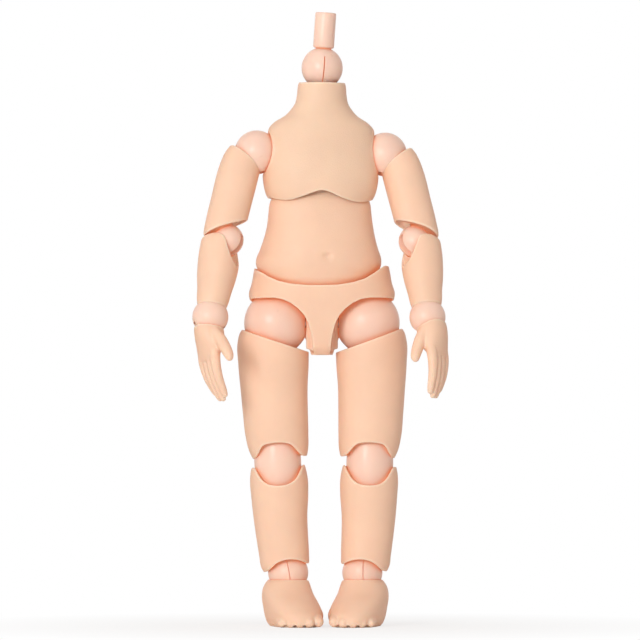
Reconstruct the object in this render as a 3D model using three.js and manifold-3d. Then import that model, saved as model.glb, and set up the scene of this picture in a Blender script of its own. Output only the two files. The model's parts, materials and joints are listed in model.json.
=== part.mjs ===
// A ball jointed doll body, 105 mm tall, with a neck peg that a head pushes onto.
// Millimetres, +Z up, the doll faces -Y, and its own left side is at +X.
import * as THREE from 'three';
import { mergeVertices } from 'three/addons/utils/BufferGeometryUtils.js';
import Module from 'manifold-3d';

const wasm = await Module();
wasm.setup();

// Clearances that every joint shares
const fit = 0.12; // a pin or stem in its hole, all round
const slip = 0.2; // a ball in its socket and a tab in its slot
const seam = 0.2; // between two shells that close on each other
const overrun = 1; // how far a cut runs past the face that it leaves
const detail = 0.03; // waviness that a finished piece may lose
const far = 40; // longer than any piece, for cuts that take a whole side away
const hipRoom = 0.32; // a hip ball in the two covers, which come from separate moulds
const pegGap = 0.4; // the neck peg above its ball, and its tab above the notch's floor

// Heights of the joint centres, each above the one that carries it
const footHeight = 9.15; // ankle centre above the sole
const kneeDrop = 23.9; // hip centre to knee centre
const ankleDrop = 42.8; // hip centre to ankle centre
const waistRise = 9.4; // hip axle to waist pin
const spineRise = 8.2; // waist pin to spine ball
const neckRise = 26.1; // spine ball to neck ball
const shoulderRise = 11.45; // spine ball to shoulder balls
const hipHalf = 7.83; // middle of the body to a hip centre
const shoulderHalf = 11.07;
const kneeOut = 0.88; // the knee stands this far outside the line from hip to ankle
const spineShift = -0.3; // the belly sits this far to the doll's right of the hips
const elbowAt = { out: 1.15, down: 16.3 }; // from the shoulder
const wristAt = { out: 1.27, down: 13.85 }; // from the elbow

// The pose of the photograph, in degrees, as { left, right } where the sides differ
const lean = { left: 1.2, right: 2.75 }; // leg, inward from hip to foot
const toeIn = { left: 6, right: 8 };
const raise = { left: 13, right: 14 }; // upper arm away from the chest
const reach = { left: 18, right: 13 }; // arm forward
const elbowFlex = { left: 10.7, right: 6.8 };
const elbowTwist = { left: 20, right: 25 };
const wristTurn = { left: -50, right: -25 };
const wristFlex = { left: -18, right: -4 };
const bellyTurn = 7;
const chestTurn = -1.5;
const chestLean = 1;
const neckLean = 3;

const skin = { color: 0xf6cdae, roughness: 0.55, metalness: 0 };
const jointSkin = { color: 0xf7cdb6, roughness: 0.35, metalness: 0 };
const pinSteel = { color: 0xc9c9c9, roughness: 0.35, metalness: 1 };

const radians = THREE.MathUtils.degToRad;

// Turns a closed geometry into a solid for cutting and joining
function solid(geometry) {
  const bare = geometry.clone();
  for (const name of Object.keys(bare.attributes)) {
    if (name !== 'position') bare.deleteAttribute(name);
  }
  const merged = mergeVertices(bare, 1e-5);
  const places = merged.attributes.position.array;
  const corners = Uint32Array.from(merged.index.array);
  const kept = [];
  for (let i = 0; i < corners.length; i += 3) {
    const [a, b, c] = [corners[i], corners[i + 1], corners[i + 2]];
    if (a !== b && b !== c && a !== c) kept.push(a, b, c);
  }
  const mesh = new wasm.Mesh({
    numProp: 3,
    vertProperties: Float32Array.from(places),
    triVerts: Uint32Array.from(kept),
  });
  const made = new wasm.Manifold(mesh);
  if (made.volume() > 0) return made;
  for (let i = 0; i < kept.length; i += 3) [kept[i], kept[i + 1]] = [kept[i + 1], kept[i]];
  mesh.triVerts = Uint32Array.from(kept);
  return new wasm.Manifold(mesh);
}

// Basic shapes, each a solid
function ball(radius, at = [0, 0, 0], round = 14, rings = 8) {
  return solid(new THREE.SphereGeometry(radius, round, rings).rotateX(Math.PI / 2).translate(...at));
}

function rod(radius, from, to, sides = 10, endRadius = radius) {
  const [a, b] = [new THREE.Vector3(...from), new THREE.Vector3(...to)];
  const along = b.clone().sub(a);
  const turn = new THREE.Quaternion().setFromUnitVectors(
    new THREE.Vector3(0, 1, 0),
    along.clone().normalize(),
  );
  const middle = a.add(b).multiplyScalar(1 / 2);
  return solid(
    new THREE.CylinderGeometry(endRadius, radius, along.length(), sides)
      .applyQuaternion(turn)
      .translate(...middle),
  );
}

function block(low, high) {
  const size = high.map((value, i) => value - low[i]);
  const middle = high.map((value, i) => (value + low[i]) / 2);
  return solid(new THREE.BoxGeometry(...size).translate(...middle));
}

// Everything on one side of a plane through a point, with the plane turned about Y and then X
function halfSpace(at, aboutY, aboutX = 0) {
  return solid(
    new THREE.BoxGeometry(far, far, far)
      .translate(0, 0, far / 2)
      .rotateY(radians(aboutY))
      .rotateX(radians(aboutX))
      .translate(...at),
  );
}

// An outline of [x, z] points, smooth or straight, as a slab between two depths
function slab(outline, front, back, smooth = false) {
  const shape = new THREE.Shape();
  if (smooth) {
    const curve = new THREE.SplineCurve(outline.map(([x, z]) => new THREE.Vector2(x, z)));
    shape.setFromPoints(curve.getPoints(outline.length * 2));
  } else shape.setFromPoints(outline.map(([x, z]) => new THREE.Vector2(x, z)));
  const made = new THREE.ExtrudeGeometry(shape, { depth: back - front, bevelEnabled: false });
  return solid(made.rotateX(Math.PI / 2).translate(0, back, 0));
}

// A body of rings from low to high. Each ring has z, the half width x, front and back depths,
// and may have cx, its middle, and square, which is 2 for an ellipse and more for a boxier form
function ringed(rings, sides = 18) {
  const geometry = new THREE.CylinderGeometry(1, 1, 1, sides, rings.length - 1);
  const place = geometry.attributes.position;
  for (let i = 0; i < place.count; i += 1) {
    const row = Math.round((place.getY(i) + 1 / 2) * (rings.length - 1));
    const { z, x, front, back, cx = 0, square = 2 } = rings[row];
    const [across, depth] = [place.getX(i), -place.getZ(i)];
    const bow = (share) => Math.sign(share) * Math.abs(share) ** (2 / square);
    place.setXYZ(i, cx + x * bow(across), (depth < 0 ? front : back) * bow(depth), z);
  }
  return solid(geometry);
}

// Rings of a limb sleeve, from shares of its length and of its half width, top first
function sleeve({ top, length, width, depth, offset }, shares, sides = 18) {
  const rings = shares.map(([down, wide, shift]) => ({
    z: top - length * down,
    x: width * wide,
    front: depth * wide,
    back: depth * wide,
    cx: offset * shift,
    square: 2.15,
  }));
  return ringed(rings.reverse(), sides);
}

const cut = (body, ...tools) => tools.reduce((left, tool) => left.subtract(tool), body);
const join = (...parts) => parts.reduce((whole, part) => whole.add(part));

const stalkShare = 0.85; // how far the flat part of a stem goes, as a share of its ball's radius
const pinDepthShare = 0.66; // how far a blind pin hole goes to the front of its ball

// A ball with a slot in its XZ plane that opens downwards, for a tab on a pin along Y.
// The slot is cut from one angle to another, counted from straight down towards +X
function slottedBall(size, from, to, round = 14, rings = 8) {
  const { radius, disc, tab, pin, stem } = size;
  const half = tab / 2 + slip;
  const way = radius + overrun;
  const side = stem + slip;
  const steps = 4;
  let body = cut(ball(radius, [0, 0, 0], round, rings), rod(disc + slip, [0, -half, 0], [0, half, 0], 12));
  const edge = [[0, side]];
  for (let i = 0; i <= steps; i += 1) {
    const angle = radians(from + ((to - from) * i) / steps);
    edge.push([way * Math.sin(angle), -way * Math.cos(angle)]);
  }
  const [first, last] = [radians(from), radians(to)];
  const outline = [
    [-side * Math.cos(first), -side * Math.sin(first)],
    [-side * Math.cos(first) + way * Math.sin(first), -side * Math.sin(first) - way * Math.cos(first)],
    ...edge.slice(1),
    [side * Math.cos(last) + way * Math.sin(last), side * Math.sin(last) - way * Math.cos(last)],
    [side * Math.cos(last), side * Math.sin(last)],
  ];
  body = cut(body, slab(outline, -half, half));
  const blind = radius * pinDepthShare;
  return cut(body, rod(pin + fit, [0, -blind, 0], [0, radius + overrun, 0]));
}

function pinFor({ radius, pin }) {
  const reachFront = radius * pinDepthShare - fit;
  const reachBack = Math.sqrt(radius ** 2 - (pin + fit) ** 2) - fit;
  return rod(pin, [0, -reachFront, 0], [0, reachBack, 0]);
}

// The tab that turns on the pin, with its stem going down to the sleeve that turns on it
function hingeTab({ radius, disc, tab, pin, stem, stemLength, collar }) {
  const half = tab / 2;
  const end = [0, 0, -stemLength];
  let body = join(
    rod(disc, [0, -half, 0], [0, half, 0], 12),
    block([-stem, -half, -radius * stalkShare], [stem, half, 0]),
  );
  if (collar) {
    const neck = [0, 0, -stemLength + collar.height];
    const start = [0, 0, -collar.from];
    body = join(body, rod(stem, start, end, 10), rod(collar.radius, neck, end, 10));
  }
  return cut(body, rod(pin + fit, [0, -half - overrun, 0], [0, half + overrun, 0]));
}

// The hole that a hinge tab's stem and collar turn in, from above the socket down
function stemHole({ stemLength, collar, stem }) {
  const end = [0, 0, -stemLength - slip];
  return join(
    rod(stem + fit, [0, 0, 0], end, 10),
    rod(collar.radius + slip, [0, 0, -stemLength + collar.height + slip], end, 10),
  );
}

const doll = new THREE.Group();
doll.name = 'doll';

// A group at a joint centre, turned by degrees about X, Y and Z in the order of the joints
function jointAt(parent, name, at, turns = []) {
  const group = new THREE.Group();
  group.name = name;
  group.position.set(...at);
  const axes = { x: [1, 0, 0], y: [0, 1, 0], z: [0, 0, 1] };
  for (const [axis, degrees] of turns) {
    const turn = new THREE.Quaternion().setFromAxisAngle(
      new THREE.Vector3(...axes[axis]),
      radians(degrees),
    );
    group.quaternion.multiply(turn);
  }
  parent.add(group);
  return group;
}

// Adds a solid as a named mesh. side is 1, or -1 for a piece mirrored to the doll's right
function piece(parent, name, made, look, side = 1) {
  const { vertProperties, triVerts, numProp } = made.simplify(detail).getMesh();
  const places = new Float32Array((vertProperties.length / numProp) * 3);
  for (let i = 0; i < places.length / 3; i += 1) {
    places[3 * i] = side * vertProperties[numProp * i];
    places[3 * i + 1] = vertProperties[numProp * i + 1];
    places[3 * i + 2] = vertProperties[numProp * i + 2];
  }
  const corners = Uint32Array.from(triVerts);
  if (side < 0) {
    for (let i = 0; i < corners.length; i += 3) {
      [corners[i], corners[i + 1]] = [corners[i + 1], corners[i]];
    }
  }
  const geometry = new THREE.BufferGeometry();
  geometry.setAttribute('position', new THREE.BufferAttribute(places, 3));
  geometry.setIndex(new THREE.BufferAttribute(corners, 1));
  const mesh = new THREE.Mesh(geometry, new THREE.MeshStandardMaterial(look));
  mesh.name = name;
  parent.add(mesh);
  return mesh;
}

// Ball joints: outer radius, tab thickness, disc and pin radii, stem and its collar
const hip = {
  radius: 5.5, tab: 1.9, disc: 1.9, pin: 0.6, stem: 1.1, stemLength: 12, flat: 4.9,
  collar: { radius: 1.9, height: 1, from: 2.2 },
};
const shoulder = {
  radius: 3.76, tab: 1.4, disc: 1.35, pin: 0.45, stem: 0.6, stemLength: 8.5,
  axle: 1.1, axleLength: 6.6, axleCollar: 1.2,
  collar: { radius: 0.9, height: 0.8, from: 1.6 },
};
const elbow = {
  radius: 2.74, tab: 1.1, disc: 1.05, pin: 0.4, stem: 0.65, post: 0.8, postLength: 6,
  collar: { radius: 1.25, height: 0.7 },
};
const wrist = {
  radius: 3.08, tab: 1.2, disc: 1.1, pin: 0.4, stem: 0.7, post: 0.8, postLength: 6,
  collar: { radius: 1.2, height: 0.7 },
};
const ankle = {
  radius: 3.44, tab: 1.3, disc: 1.2, pin: 0.45, stem: 0.75, underKnee: 9.9,
  collar: { radius: 1.4, height: 0.8, from: 1.4 },
};
ankle.stemLength = ankleDrop - kneeDrop - ankle.underKnee; // the post ends well below the knee
const spine = {
  radius: 2.6, tab: 1.3, disc: 1.15, pin: 0.45, stem: 0.75, stemLength: 11,
  collar: { radius: 1.5, height: 0.9, from: 1.4 },
};
const neck = {
  radius: 3.54, tab: 1.1, disc: 1.15, pin: 0.45, stem: 0.74, stemLength: 9,
  collar: { radius: 1.4, height: 0.8, from: 1.4 },
};
const knee = { radius: 4, pinRise: 2.3, pin: 0.55, pinHalf: 4.3, cheek: 1.5, swing: 52 };
const hipAxle = { radius: 0.9, engage: 1.6, collar: 1.4, collarHeight: 0.8 };
const pegRadius = 1.8;
const pegRise = 9.5; // neck ball centre to the peg's top

// A post that rises from a ball, with a collar at its top, and the hole that it turns in
function post({ post: radius, postLength, collar }) {
  const top = [0, 0, postLength];
  return join(rod(radius, [0, 0, 0], top, 10), rod(collar.radius, [0, 0, postLength - collar.height], top, 10));
}

function postHole({ post: radius, postLength, collar }) {
  const top = [0, 0, postLength + slip];
  const neckAt = [0, 0, postLength - collar.height - slip];
  return join(rod(radius + fit, [0, 0, 0], top, 10), rod(collar.radius + slip, neckAt, top, 10));
}

const moved = (body, at) => body.translate(at);
const turned = (body, x, y, z) => body.rotate([x, y, z]);

// Hips: two covers that close on the axle, with a strip between the legs
const cover = { width: 12.55, front: 7.25, back: 7.8, overWaist: 0.6, bottom: -5.5, underTop: 1 };
cover.top = waistRise + cover.overWaist;
const coverShares = [
  // height over the axle, as a share of the top or bottom, then width, front and back
  [-1, 0.2, 0.64, 0.4],
  [-0.82, 0.42, 0.78, 0.64],
  [-0.45, 0.66, 0.88, 0.88],
  [0, 0.82, 0.93, 0.98],
  [0.25, 0.92, 0.96, 1],
  [0.42, 0.99, 0.985, 1],
  [0.52, 1, 1, 0.99],
  [0.65, 0.965, 1, 0.95],
  [0.85, 0.925, 0.985, 0.88],
  [1, 0.9, 0.96, 0.83],
];
const waistRightShares = [
  // the cover's top edge, as shares of its half width and of its top
  [-1.1, 1.04], [-0.9, 0.97], [-0.78, 0.86], [-0.62, 0.72], [-0.45, 0.655], [-0.2, 0.635], [0, 0.63],
];
const mirrored = (shares) => [...shares, ...shares.slice(0, -1).reverse().map(([x, z]) => [-x, z])];
const waistLineShares = mirrored(waistRightShares);
const legLineShares = [
  // the leg opening round the hip ball, as shares of its radius, outward and up
  [1.3, 0.76], [0.66, 0.77], [0.2, 0.79], [-0.16, 0.77], [-0.42, 0.66],
  [-0.68, 0.46], [-0.88, 0.22], [-0.99, -0.06], [-1.05, -0.42], [-1.085, -0.76], [-1.13, -1.05],
];

const waist = {
  radius: 4, tab: 1.5, disc: 1.5, pin: 0.5, pinHalf: 5.32, stem: 0.9, stemFoot: 2.2, swing: 12,
  collar: { radius: 1.7, height: 0.8, from: 1.8 },
};
waist.stemLength = waistRise - waist.stemFoot; // the post ends above the hip axle

// Belly: rings from its lower dome to its upper dome, over the waist pin
const belly = { width: 10.65, front: 6.75, back: 5.9, overSpine: 6 };
belly.top = spineRise + belly.overSpine;
const bellyLevelShares = [
  // height over the waist pin as a share of the top, then shares of width, front and back
  [-0.282, 0.36, 0.56, 0.5],
  [-0.232, 0.62, 0.8, 0.75],
  [-0.148, 0.83, 0.925, 0.9],
  [-0.056, 0.95, 0.97, 0.97],
  [0.035, 0.995, 0.99, 1],
  [0.106, 1, 1, 0.98],
  [0.232, 0.95, 0.98, 0.91],
  [0.38, 0.89, 0.925, 0.85],
  [0.528, 0.85, 0.88, 0.83],
  [0.662, 0.845, 0.84, 0.83],
  [0.782, 0.825, 0.81, 0.81],
  [0.845, 0.77, 0.79, 0.73],
  [0.908, 0.69, 0.74, 0.63],
  [0.965, 0.58, 0.65, 0.51],
  [1, 0.46, 0.53, 0.4],
];

function ringsOf(shares, { width, front, back }, top, bottom = top, square = 2.2, more = 0) {
  return shares.map(([level, wide, ahead, behind]) => ({
    z: level < 0 ? -level * bottom : level * top,
    x: width * wide + more,
    front: front * ahead + more,
    back: back * behind + more,
    square,
  }));
}

function waistPostPiece() {
  return turned(hingeTab(waist), 0, 0, 90);
}

function hipCovers() {
  const rings = ringsOf(coverShares, cover, cover.top, cover.bottom, 2.4);
  let body = ringed(rings, 28);
  const line = waistLineShares.map(([x, z]) => [x * cover.width, z * cover.top]);
  const above = slab([...line, [line.at(-1)[0], far], [line[0][0], far]], -far, 0);
  const backTop = block([-far, -overrun, cover.top - cover.underTop], [far, far, far]);
  body = cut(body, above, backTop);
  // the hollow that the belly's lower dome turns in
  const room = ringed(bellyRoomRings(), 28);
  body = cut(body, moved(turned(room, 0, 0, bellyTurn), [spineShift, 0, waistRise]));
  for (const side of [1, -1]) {
    const at = [side * hipHalf, 0, 0];
    const opening = legLineShares.map(([out, up]) => [
      side * (hipHalf + hip.radius * out),
      hip.radius * up,
    ]);
    const [first, last] = [opening[0], opening.at(-1)];
    const low = [[last[0], -far], [side * far, -far], [side * far, first[1]]];
    const points = [...opening, ...low];
    body = cut(
      body,
      ball(hip.radius + hipRoom, at, 18, 10),
      slab(points, -far, far),
    );
  }
  const axleHole = rod(hipAxle.radius + fit, [-far, 0, 0], [far, 0, 0], 12);
  const collarHalf = hipAxle.collarHeight / 2;
  const collarHole = rod(hipAxle.collar + slip, [-collarHalf - slip, 0, 0], [collarHalf + slip, 0, 0], 12);
  body = cut(body, axleHole, collarHole);
  const low = waistRise - waist.stemLength - slip;
  const collarTop = waistRise - waist.stemLength + waist.collar.height + slip;
  body = cut(
    body,
    rod(waist.stem + fit, [spineShift, 0, low], [spineShift, 0, waistRise], 12),
    rod(waist.collar.radius + slip, [spineShift, 0, low], [spineShift, 0, collarTop], 12),
  );
  const half = seam / 2;
  return {
    front: cut(body, block([-far, -half, -far], [far, far, far])),
    back: cut(body, block([-far, -far, -far], [far, half, far])),
  };
}

// The room for the lower dome: the dome with space for its swing
const domeRoom = { under: 0.6, side: 0.35, front: 0.4 };
function bellyRoomRings() {
  const { under, side, front } = domeRoom;
  return ringsOf(bellyLevelShares.slice(0, 6), belly, belly.top, -belly.top).map((ring, i) => ({
    ...ring,
    z: i < 5 ? ring.z - under : ring.z + far,
    x: ring.x + side,
    front: ring.front + front,
    back: ring.back + front,
  }));
}

function bellyPiece() {
  let body = ringed(ringsOf(bellyLevelShares, belly, belly.top, -belly.top), 28);
  const half = waist.tab / 2 + slip;
  // the slot for the waist post's tab, with room to bend
  const slot = turned(slab(waistSlotOutline(), -half, half), 0, 0, 90);
  body = cut(body, slot, rod(waist.pin + fit, [-waist.pinHalf, 0, 0], [waist.pinHalf, 0, 0]));
  body = cut(body, rod(waist.disc + slip, [-half, 0, 0], [half, 0, 0], 16));
  // the well of the spine ball, open at the top so that its post can lean
  const at = [0, 0, spineRise];
  const socket = spine.radius + slip;
  return cut(body, ball(socket, at), rod(socket, at, [0, 0, belly.top + overrun], 16));
}

function waistSlotOutline() {
  const wide = waist.disc + slip;
  const low = -belly.width;
  const spread = Math.tan(radians(waist.swing)) * -low;
  return [[-wide, 0], [-wide - spread, low], [wide + spread, low], [wide, 0]];
}

// Chest: rings over the spine ball, from the lower edge to the neck rim
const chest = { inset: 1.17, front: 6.7, back: 5.7, underNeck: 2.5, backEdge: 3.54 };
chest.width = shoulderHalf - chest.inset;
chest.top = neckRise - chest.underNeck;
const chestLevelShares = [
  [0.1, 0.88, 0.93, 0.9],
  [0.165, 0.92, 0.96, 0.93],
  [0.19, 0.955, 0.98, 0.95],
  [0.235, 0.98, 1, 0.965],
  [0.28, 0.995, 1, 0.98],
  [0.37, 1, 0.985, 1],
  [0.51, 0.97, 0.9, 1],
  [0.63, 0.925, 0.8, 0.97],
  [0.665, 0.905, 0.775, 0.94],
  [0.71, 0.8, 0.74, 0.88],
  [0.755, 0.64, 0.7, 0.82],
  [0.8, 0.535, 0.65, 0.77],
  [0.845, 0.465, 0.62, 0.74],
  [0.9, 0.43, 0.605, 0.715],
  [0.98, 0.41, 0.6, 0.7],
  [1, 0.385, 0.56, 0.66],
];
const chestRightShares = [
  // the lower edge of the front, as shares of the half width and of the chest's top
  [-1.1, 0.165], [-0.9, 0.145], [-0.62, 0.137], [-0.35, 0.158], [-0.15, 0.192], [0, 0.218],
];
const chestLineShares = mirrored(chestRightShares);

// The hollow over the belly's upper dome, with room for the chest to bend, lean and turn
const chestRoom = { side: 0.5, front: 0.42, back: 0.75, over: 0.9 };
function chestHollow() {
  const { side, front, back, over } = chestRoom;
  const rings = ringsOf(bellyLevelShares.slice(8), belly, belly.top, -belly.top);
  const grown = rings.map((ring, i) => ({
    ...ring,
    z: ring.z - spineRise + over * (i / (rings.length - 1)),
    x: ring.x + side * (1 + i / rings.length),
    front: ring.front + front * (1 + i / rings.length),
    back: ring.back + back,
  }));
  const skirt = { ...grown[0], z: -far / 4 };
  return ringed([skirt, ...grown], 28);
}

function chestShells() {
  let body = ringed(ringsOf(chestLevelShares, chest, chest.top, chest.top, 2.25), 28);
  const line = chestLineShares.map(([x, z]) => [x * chest.width, z * chest.top]);
  const frontCut = slab([...line, [line.at(-1)[0], -far], [line[0][0], -far]], -far, overrun);
  const backCut = block([-far, 0, -far], [far, far, chest.backEdge]);
  body = cut(body, frontCut, backCut, chestHollow());
  const neckAt = [0, 0, neckRise];
  body = cut(body, ball(neck.radius + slip, neckAt));
  for (const side of [1, -1]) {
    const at = [side * shoulderHalf, 0, shoulderRise];
    const inner = side * (shoulderHalf - shoulder.axleLength);
    const collarAt = inner + side * (shoulder.collar.height + slip);
    const end = inner - side * slip;
    body = cut(
      body,
      ball(shoulder.radius + slip, at),
      rod(shoulder.axle + fit, [end, 0, shoulderRise], at, 12),
      rod(shoulder.axleCollar + slip, [end, 0, shoulderRise], [collarAt, 0, shoulderRise], 12),
    );
  }
  // holes for the spine post below and the neck post above
  const spineHole = turned(stemHole(spine), 180, 0, 0);
  body = cut(body, spineHole, moved(stemHole(neck), neckAt));
  const half = seam / 2;
  return {
    front: cut(body, block([-far, -half, -far], [far, far, far])),
    back: cut(body, block([-far, -far, -far], [far, half, far])),
  };
}

const pegTabShare = 0.7; // the peg's tab is narrower than the peg
const pegSeatShare = 0.45; // where the tab's end lies in the ball, as a share of its radius
const pegSwing = 10;

// Neck: the peg's tab turns sideways in the ball's top, the post's tab nods in its slit
function neckBallPiece() {
  const slotted = turned(slottedBall(neck, -38, 38), 0, 0, 90);
  const half = neck.tab / 2 + slip;
  const way = neck.radius + overrun;
  const spread = pegRadius * pegTabShare + slip + Math.tan(radians(pegSwing)) * way;
  const low = neck.radius * pegSeatShare;
  const notch = slab([[-spread, low], [-spread, way], [spread, way], [spread, low]], -half, half);
  return cut(slotted, notch);
}

function neckPegPiece() {
  const half = neck.tab / 2;
  const wide = pegRadius * pegTabShare;
  const low = neck.radius * pegSeatShare + pegGap;
  const seat = neck.radius + pegGap;
  return join(
    block([-wide, -half, low], [wide, half, seat + pegRadius]),
    rod(pegRadius, [0, 0, seat], [0, 0, pegRise], 20),
  );
}

// Knees: a round block on two pins, and the room that it needs in the thigh and the shin
function kneeBlockPiece() {
  const { radius, pinRise, pin } = knee;
  let body = ball(radius);
  for (const z of [pinRise, -pinRise]) {
    body = cut(body, rod(pin + fit, [-radius - overrun, 0, z], [radius + overrun, 0, z]));
  }
  return body;
}

const kneeSteps = 2;
const kneeArchShare = 0.9; // the arch that shows the block in front, as a share of its room

function kneeRoom() {
  // the block's path about the upper pin, seen from the thigh with the knee centre at the origin
  const { radius, pinRise, swing } = knee;
  const balls = [];
  for (let i = 0; i <= kneeSteps; i += 1) {
    const angle = radians((swing * i) / kneeSteps);
    const at = [0, pinRise * Math.sin(angle), pinRise * (1 - Math.cos(angle))];
    balls.push(ball(radius + slip, at));
  }
  return join(...balls);
}

function kneeEnd(body, way) {
  // way is 1 for the thigh above the knee and -1 for the shin below it
  const { radius, pinRise, pin, pinHalf, cheek, swing } = knee;
  const level = pinRise - cheek;
  const flip = (made) => (way > 0 ? made : made.mirror([0, 0, 1]));
  // the plane that the thigh and the shin meet at when both pins are bent all the way
  const tilt = radians(swing);
  const behind = [
    0,
    (pinRise - slip) * Math.sin(tilt),
    pinRise - (pinRise - slip) * Math.cos(tilt),
  ];
  const arch = rod((radius + slip) * kneeArchShare, [0, -far, 0], [0, radius, 0], 24);
  return cut(
    body,
    flip(kneeRoom()),
    flip(block([-far, -far, -far], [far, far, level])),
    flip(halfSpace(behind, 0, 180 + swing)),
    arch,
    rod(pin + fit, [-pinHalf - fit, 0, way * pinRise], [pinHalf + fit, 0, way * pinRise]),
  );
}

const kneePin = () => rod(knee.pin, [-knee.pinHalf, 0, 0], [knee.pinHalf, 0, 0]);

// Legs, with out as +X and the hip or the knee as the origin
// each sleeve's length follows from the joints at its two ends
const thigh = { top: -0.4, endRise: 0.1, width: 6.05, depth: 6, offset: 1 };
thigh.length = thigh.top + kneeDrop - thigh.endRise;
const thighShares = [
  // down the sleeve, then its half width, then how far its middle stands outwards
  [0, 0.86, 0.4],
  [0.045, 0.95, 0.55],
  [0.11, 1, 0.72],
  [0.28, 0.995, 0.8],
  [0.46, 0.945, 0.9],
  [0.65, 0.885, 0.85],
  [0.8, 0.86, 0.76],
  [0.92, 0.8, 0.56],
  [1, 0.73, 0.42],
];
const thighRim = { out: 5.6, down: 1.05, tilt: 20.7 };

function thighPiece() {
  const { out, down, tilt } = thighRim;
  let body = sleeve(thigh, thighShares);
  body = cut(
    body,
    halfSpace([out, 0, -down], -tilt),
    ball(hip.radius + slip, [0, 0, 0], 18, 10),
    stemHole(hip),
  );
  return moved(kneeEnd(moved(body, [-kneeOut, 0, kneeDrop]), 1), [kneeOut, 0, -kneeDrop]);
}

const shin = { endRise: 0.4, width: 4.95, depth: 4.95, offset: 0.85 };
shin.top = -kneeDrop;
shin.length = ankleDrop - kneeDrop - shin.endRise;
const shinShares = [
  [0, 0.86, 1],
  [0.08, 0.96, 1],
  [0.16, 1, 0.98],
  [0.3, 0.985, 0.95],
  [0.5, 0.93, 1.02],
  [0.7, 0.895, 0.82],
  [0.86, 0.86, 0.62],
  [0.96, 0.82, 0.6],
  [1, 0.75, 0.6],
];
const ankleArch = { radius: 3.3, lift: -0.85 };

function shinPiece() {
  let body = moved(sleeve(shin, shinShares), [-kneeOut, 0, kneeDrop]);
  body = moved(kneeEnd(body, -1), [kneeOut, 0, -kneeDrop + ankleDrop]);
  const archAt = ankleArch.lift;
  return cut(
    body,
    ball(ankle.radius + slip, [0, 0, 0]),
    rod(ankleArch.radius, [0, -far, archAt], [0, far, archAt], 20),
    turned(stemHole(ankle), 180, 0, 0),
  );
}

// Feet: rings from the sole up to the ankle ring, with five toes
const foot = { width: 4.8, front: 11.3, back: 5, inward: -0.35 };
const footShares = [
  [1, 0.86, 0.93, 0.86],
  [0.94, 0.98, 1, 0.97],
  [0.78, 1, 0.985, 1],
  [0.62, 0.985, 0.86, 0.98],
  [0.46, 0.93, 0.65, 0.93],
  [0.33, 0.85, 0.48, 0.86],
  [0.23, 0.76, 0.37, 0.79],
  [0.148, 0.69, 0.31, 0.72],
];
const toeShares = [
  // across the foot from the inner side, how far ahead, radius, all as shares of the half width
  [-0.66, 2.16, 0.32], [-0.24, 2.2, 0.24], [0.13, 2.1, 0.23], [0.46, 1.94, 0.22], [0.76, 1.72, 0.21],
];

function footPiece() {
  const rings = footShares.map(([down, wide, ahead, behind]) => ({
    z: -footHeight * down,
    x: foot.width * wide,
    front: foot.front * ahead,
    back: foot.back * behind,
    cx: foot.inward * down,
    square: 2.3,
  }));
  let body = ringed(rings, 20);
  for (const [across, ahead, share] of toeShares) {
    const radius = foot.width * share;
    const tip = [foot.inward + foot.width * across, -foot.width * ahead, -footHeight + radius];
    const root = [tip[0], tip[1] + foot.width / 2, tip[2]];
    body = join(body, ball(radius, tip, 8, 6), rod(radius, root, tip, 8));
  }
  body = cut(body, block([-far, -far, -far], [far, far, -footHeight]));
  return cut(body, ball(ankle.radius + slip, [0, 0, 0]));
}

function ankleBallPiece() {
  return turned(slottedBall(ankle, -28, 28), 0, 180, 90);
}

// Arms, with out as +X and the shoulder, elbow or wrist as the origin
const upperArm = { top: 1.2, endDrop: 0.5, width: 3.5, depth: 3.55, offset: 2.15 };
upperArm.length = upperArm.top + elbowAt.down + upperArm.endDrop;
const upperArmShares = [
  [0, 0.7, 1], [0.05, 0.88, 1], [0.12, 0.98, 1], [0.3, 1, 1], [0.6, 1, 1], [0.85, 0.98, 1], [0.97, 0.93, 1],
  [1, 0.87, 1],
];
const upperArmCuts = { topOut: 4.7, topDrop: 0.1, topTilt: 24.6, endOut: 5.5, endDrop: 0.3, endTilt: 33 };

function upperArmPiece() {
  const { topOut, topDrop, topTilt, endOut, endDrop, endTilt } = upperArmCuts;
  return cut(
    sleeve(upperArm, upperArmShares),
    halfSpace([topOut, 0, -topDrop], -topTilt),
    halfSpace([endOut, 0, -elbowAt.down - endDrop], 180 + endTilt),
    ball(shoulder.radius + slip, [0, 0, 0]),
    stemHole(shoulder),
    moved(join(ball(elbow.radius + slip), postHole(elbow)), [elbowAt.out, 0, -elbowAt.down]),
  );
}

function shoulderBallPiece() {
  const { axle, axleLength, axleCollar, collar, radius } = shoulder;
  const stem = join(
    rod(axle, [-axleLength, 0, 0], [-radius / 2, 0, 0], 12),
    rod(axleCollar, [-axleLength, 0, 0], [-axleLength + collar.height, 0, 0], 12),
  );
  return join(slottedBall(shoulder, -8, 95), stem);
}

const forearm = { top: 0.9, endRise: 1.85, width: 3.45, depth: 3.5, offset: 1.15 };
forearm.length = forearm.top + wristAt.down - forearm.endRise;
const forearmShares = [
  [0, 0.84, 1], [0.08, 0.94, 1], [0.22, 0.99, 1], [0.45, 1, 0.96], [0.62, 0.94, 0.98], [0.78, 0.84, 1.03],
  [0.92, 0.77, 1.08], [1, 0.68, 1.1],
];
const forearmTopShares = [
  // the top edge, outward and up, as shares of the elbow ball
  [2.2, -0.3], [1.56, -0.13], [0.9, 0.1], [0.2, 0.2], [-0.2, -0.08], [-0.5, -0.84], [-0.8, -1.57], [-1.3, -2.6],
];

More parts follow.
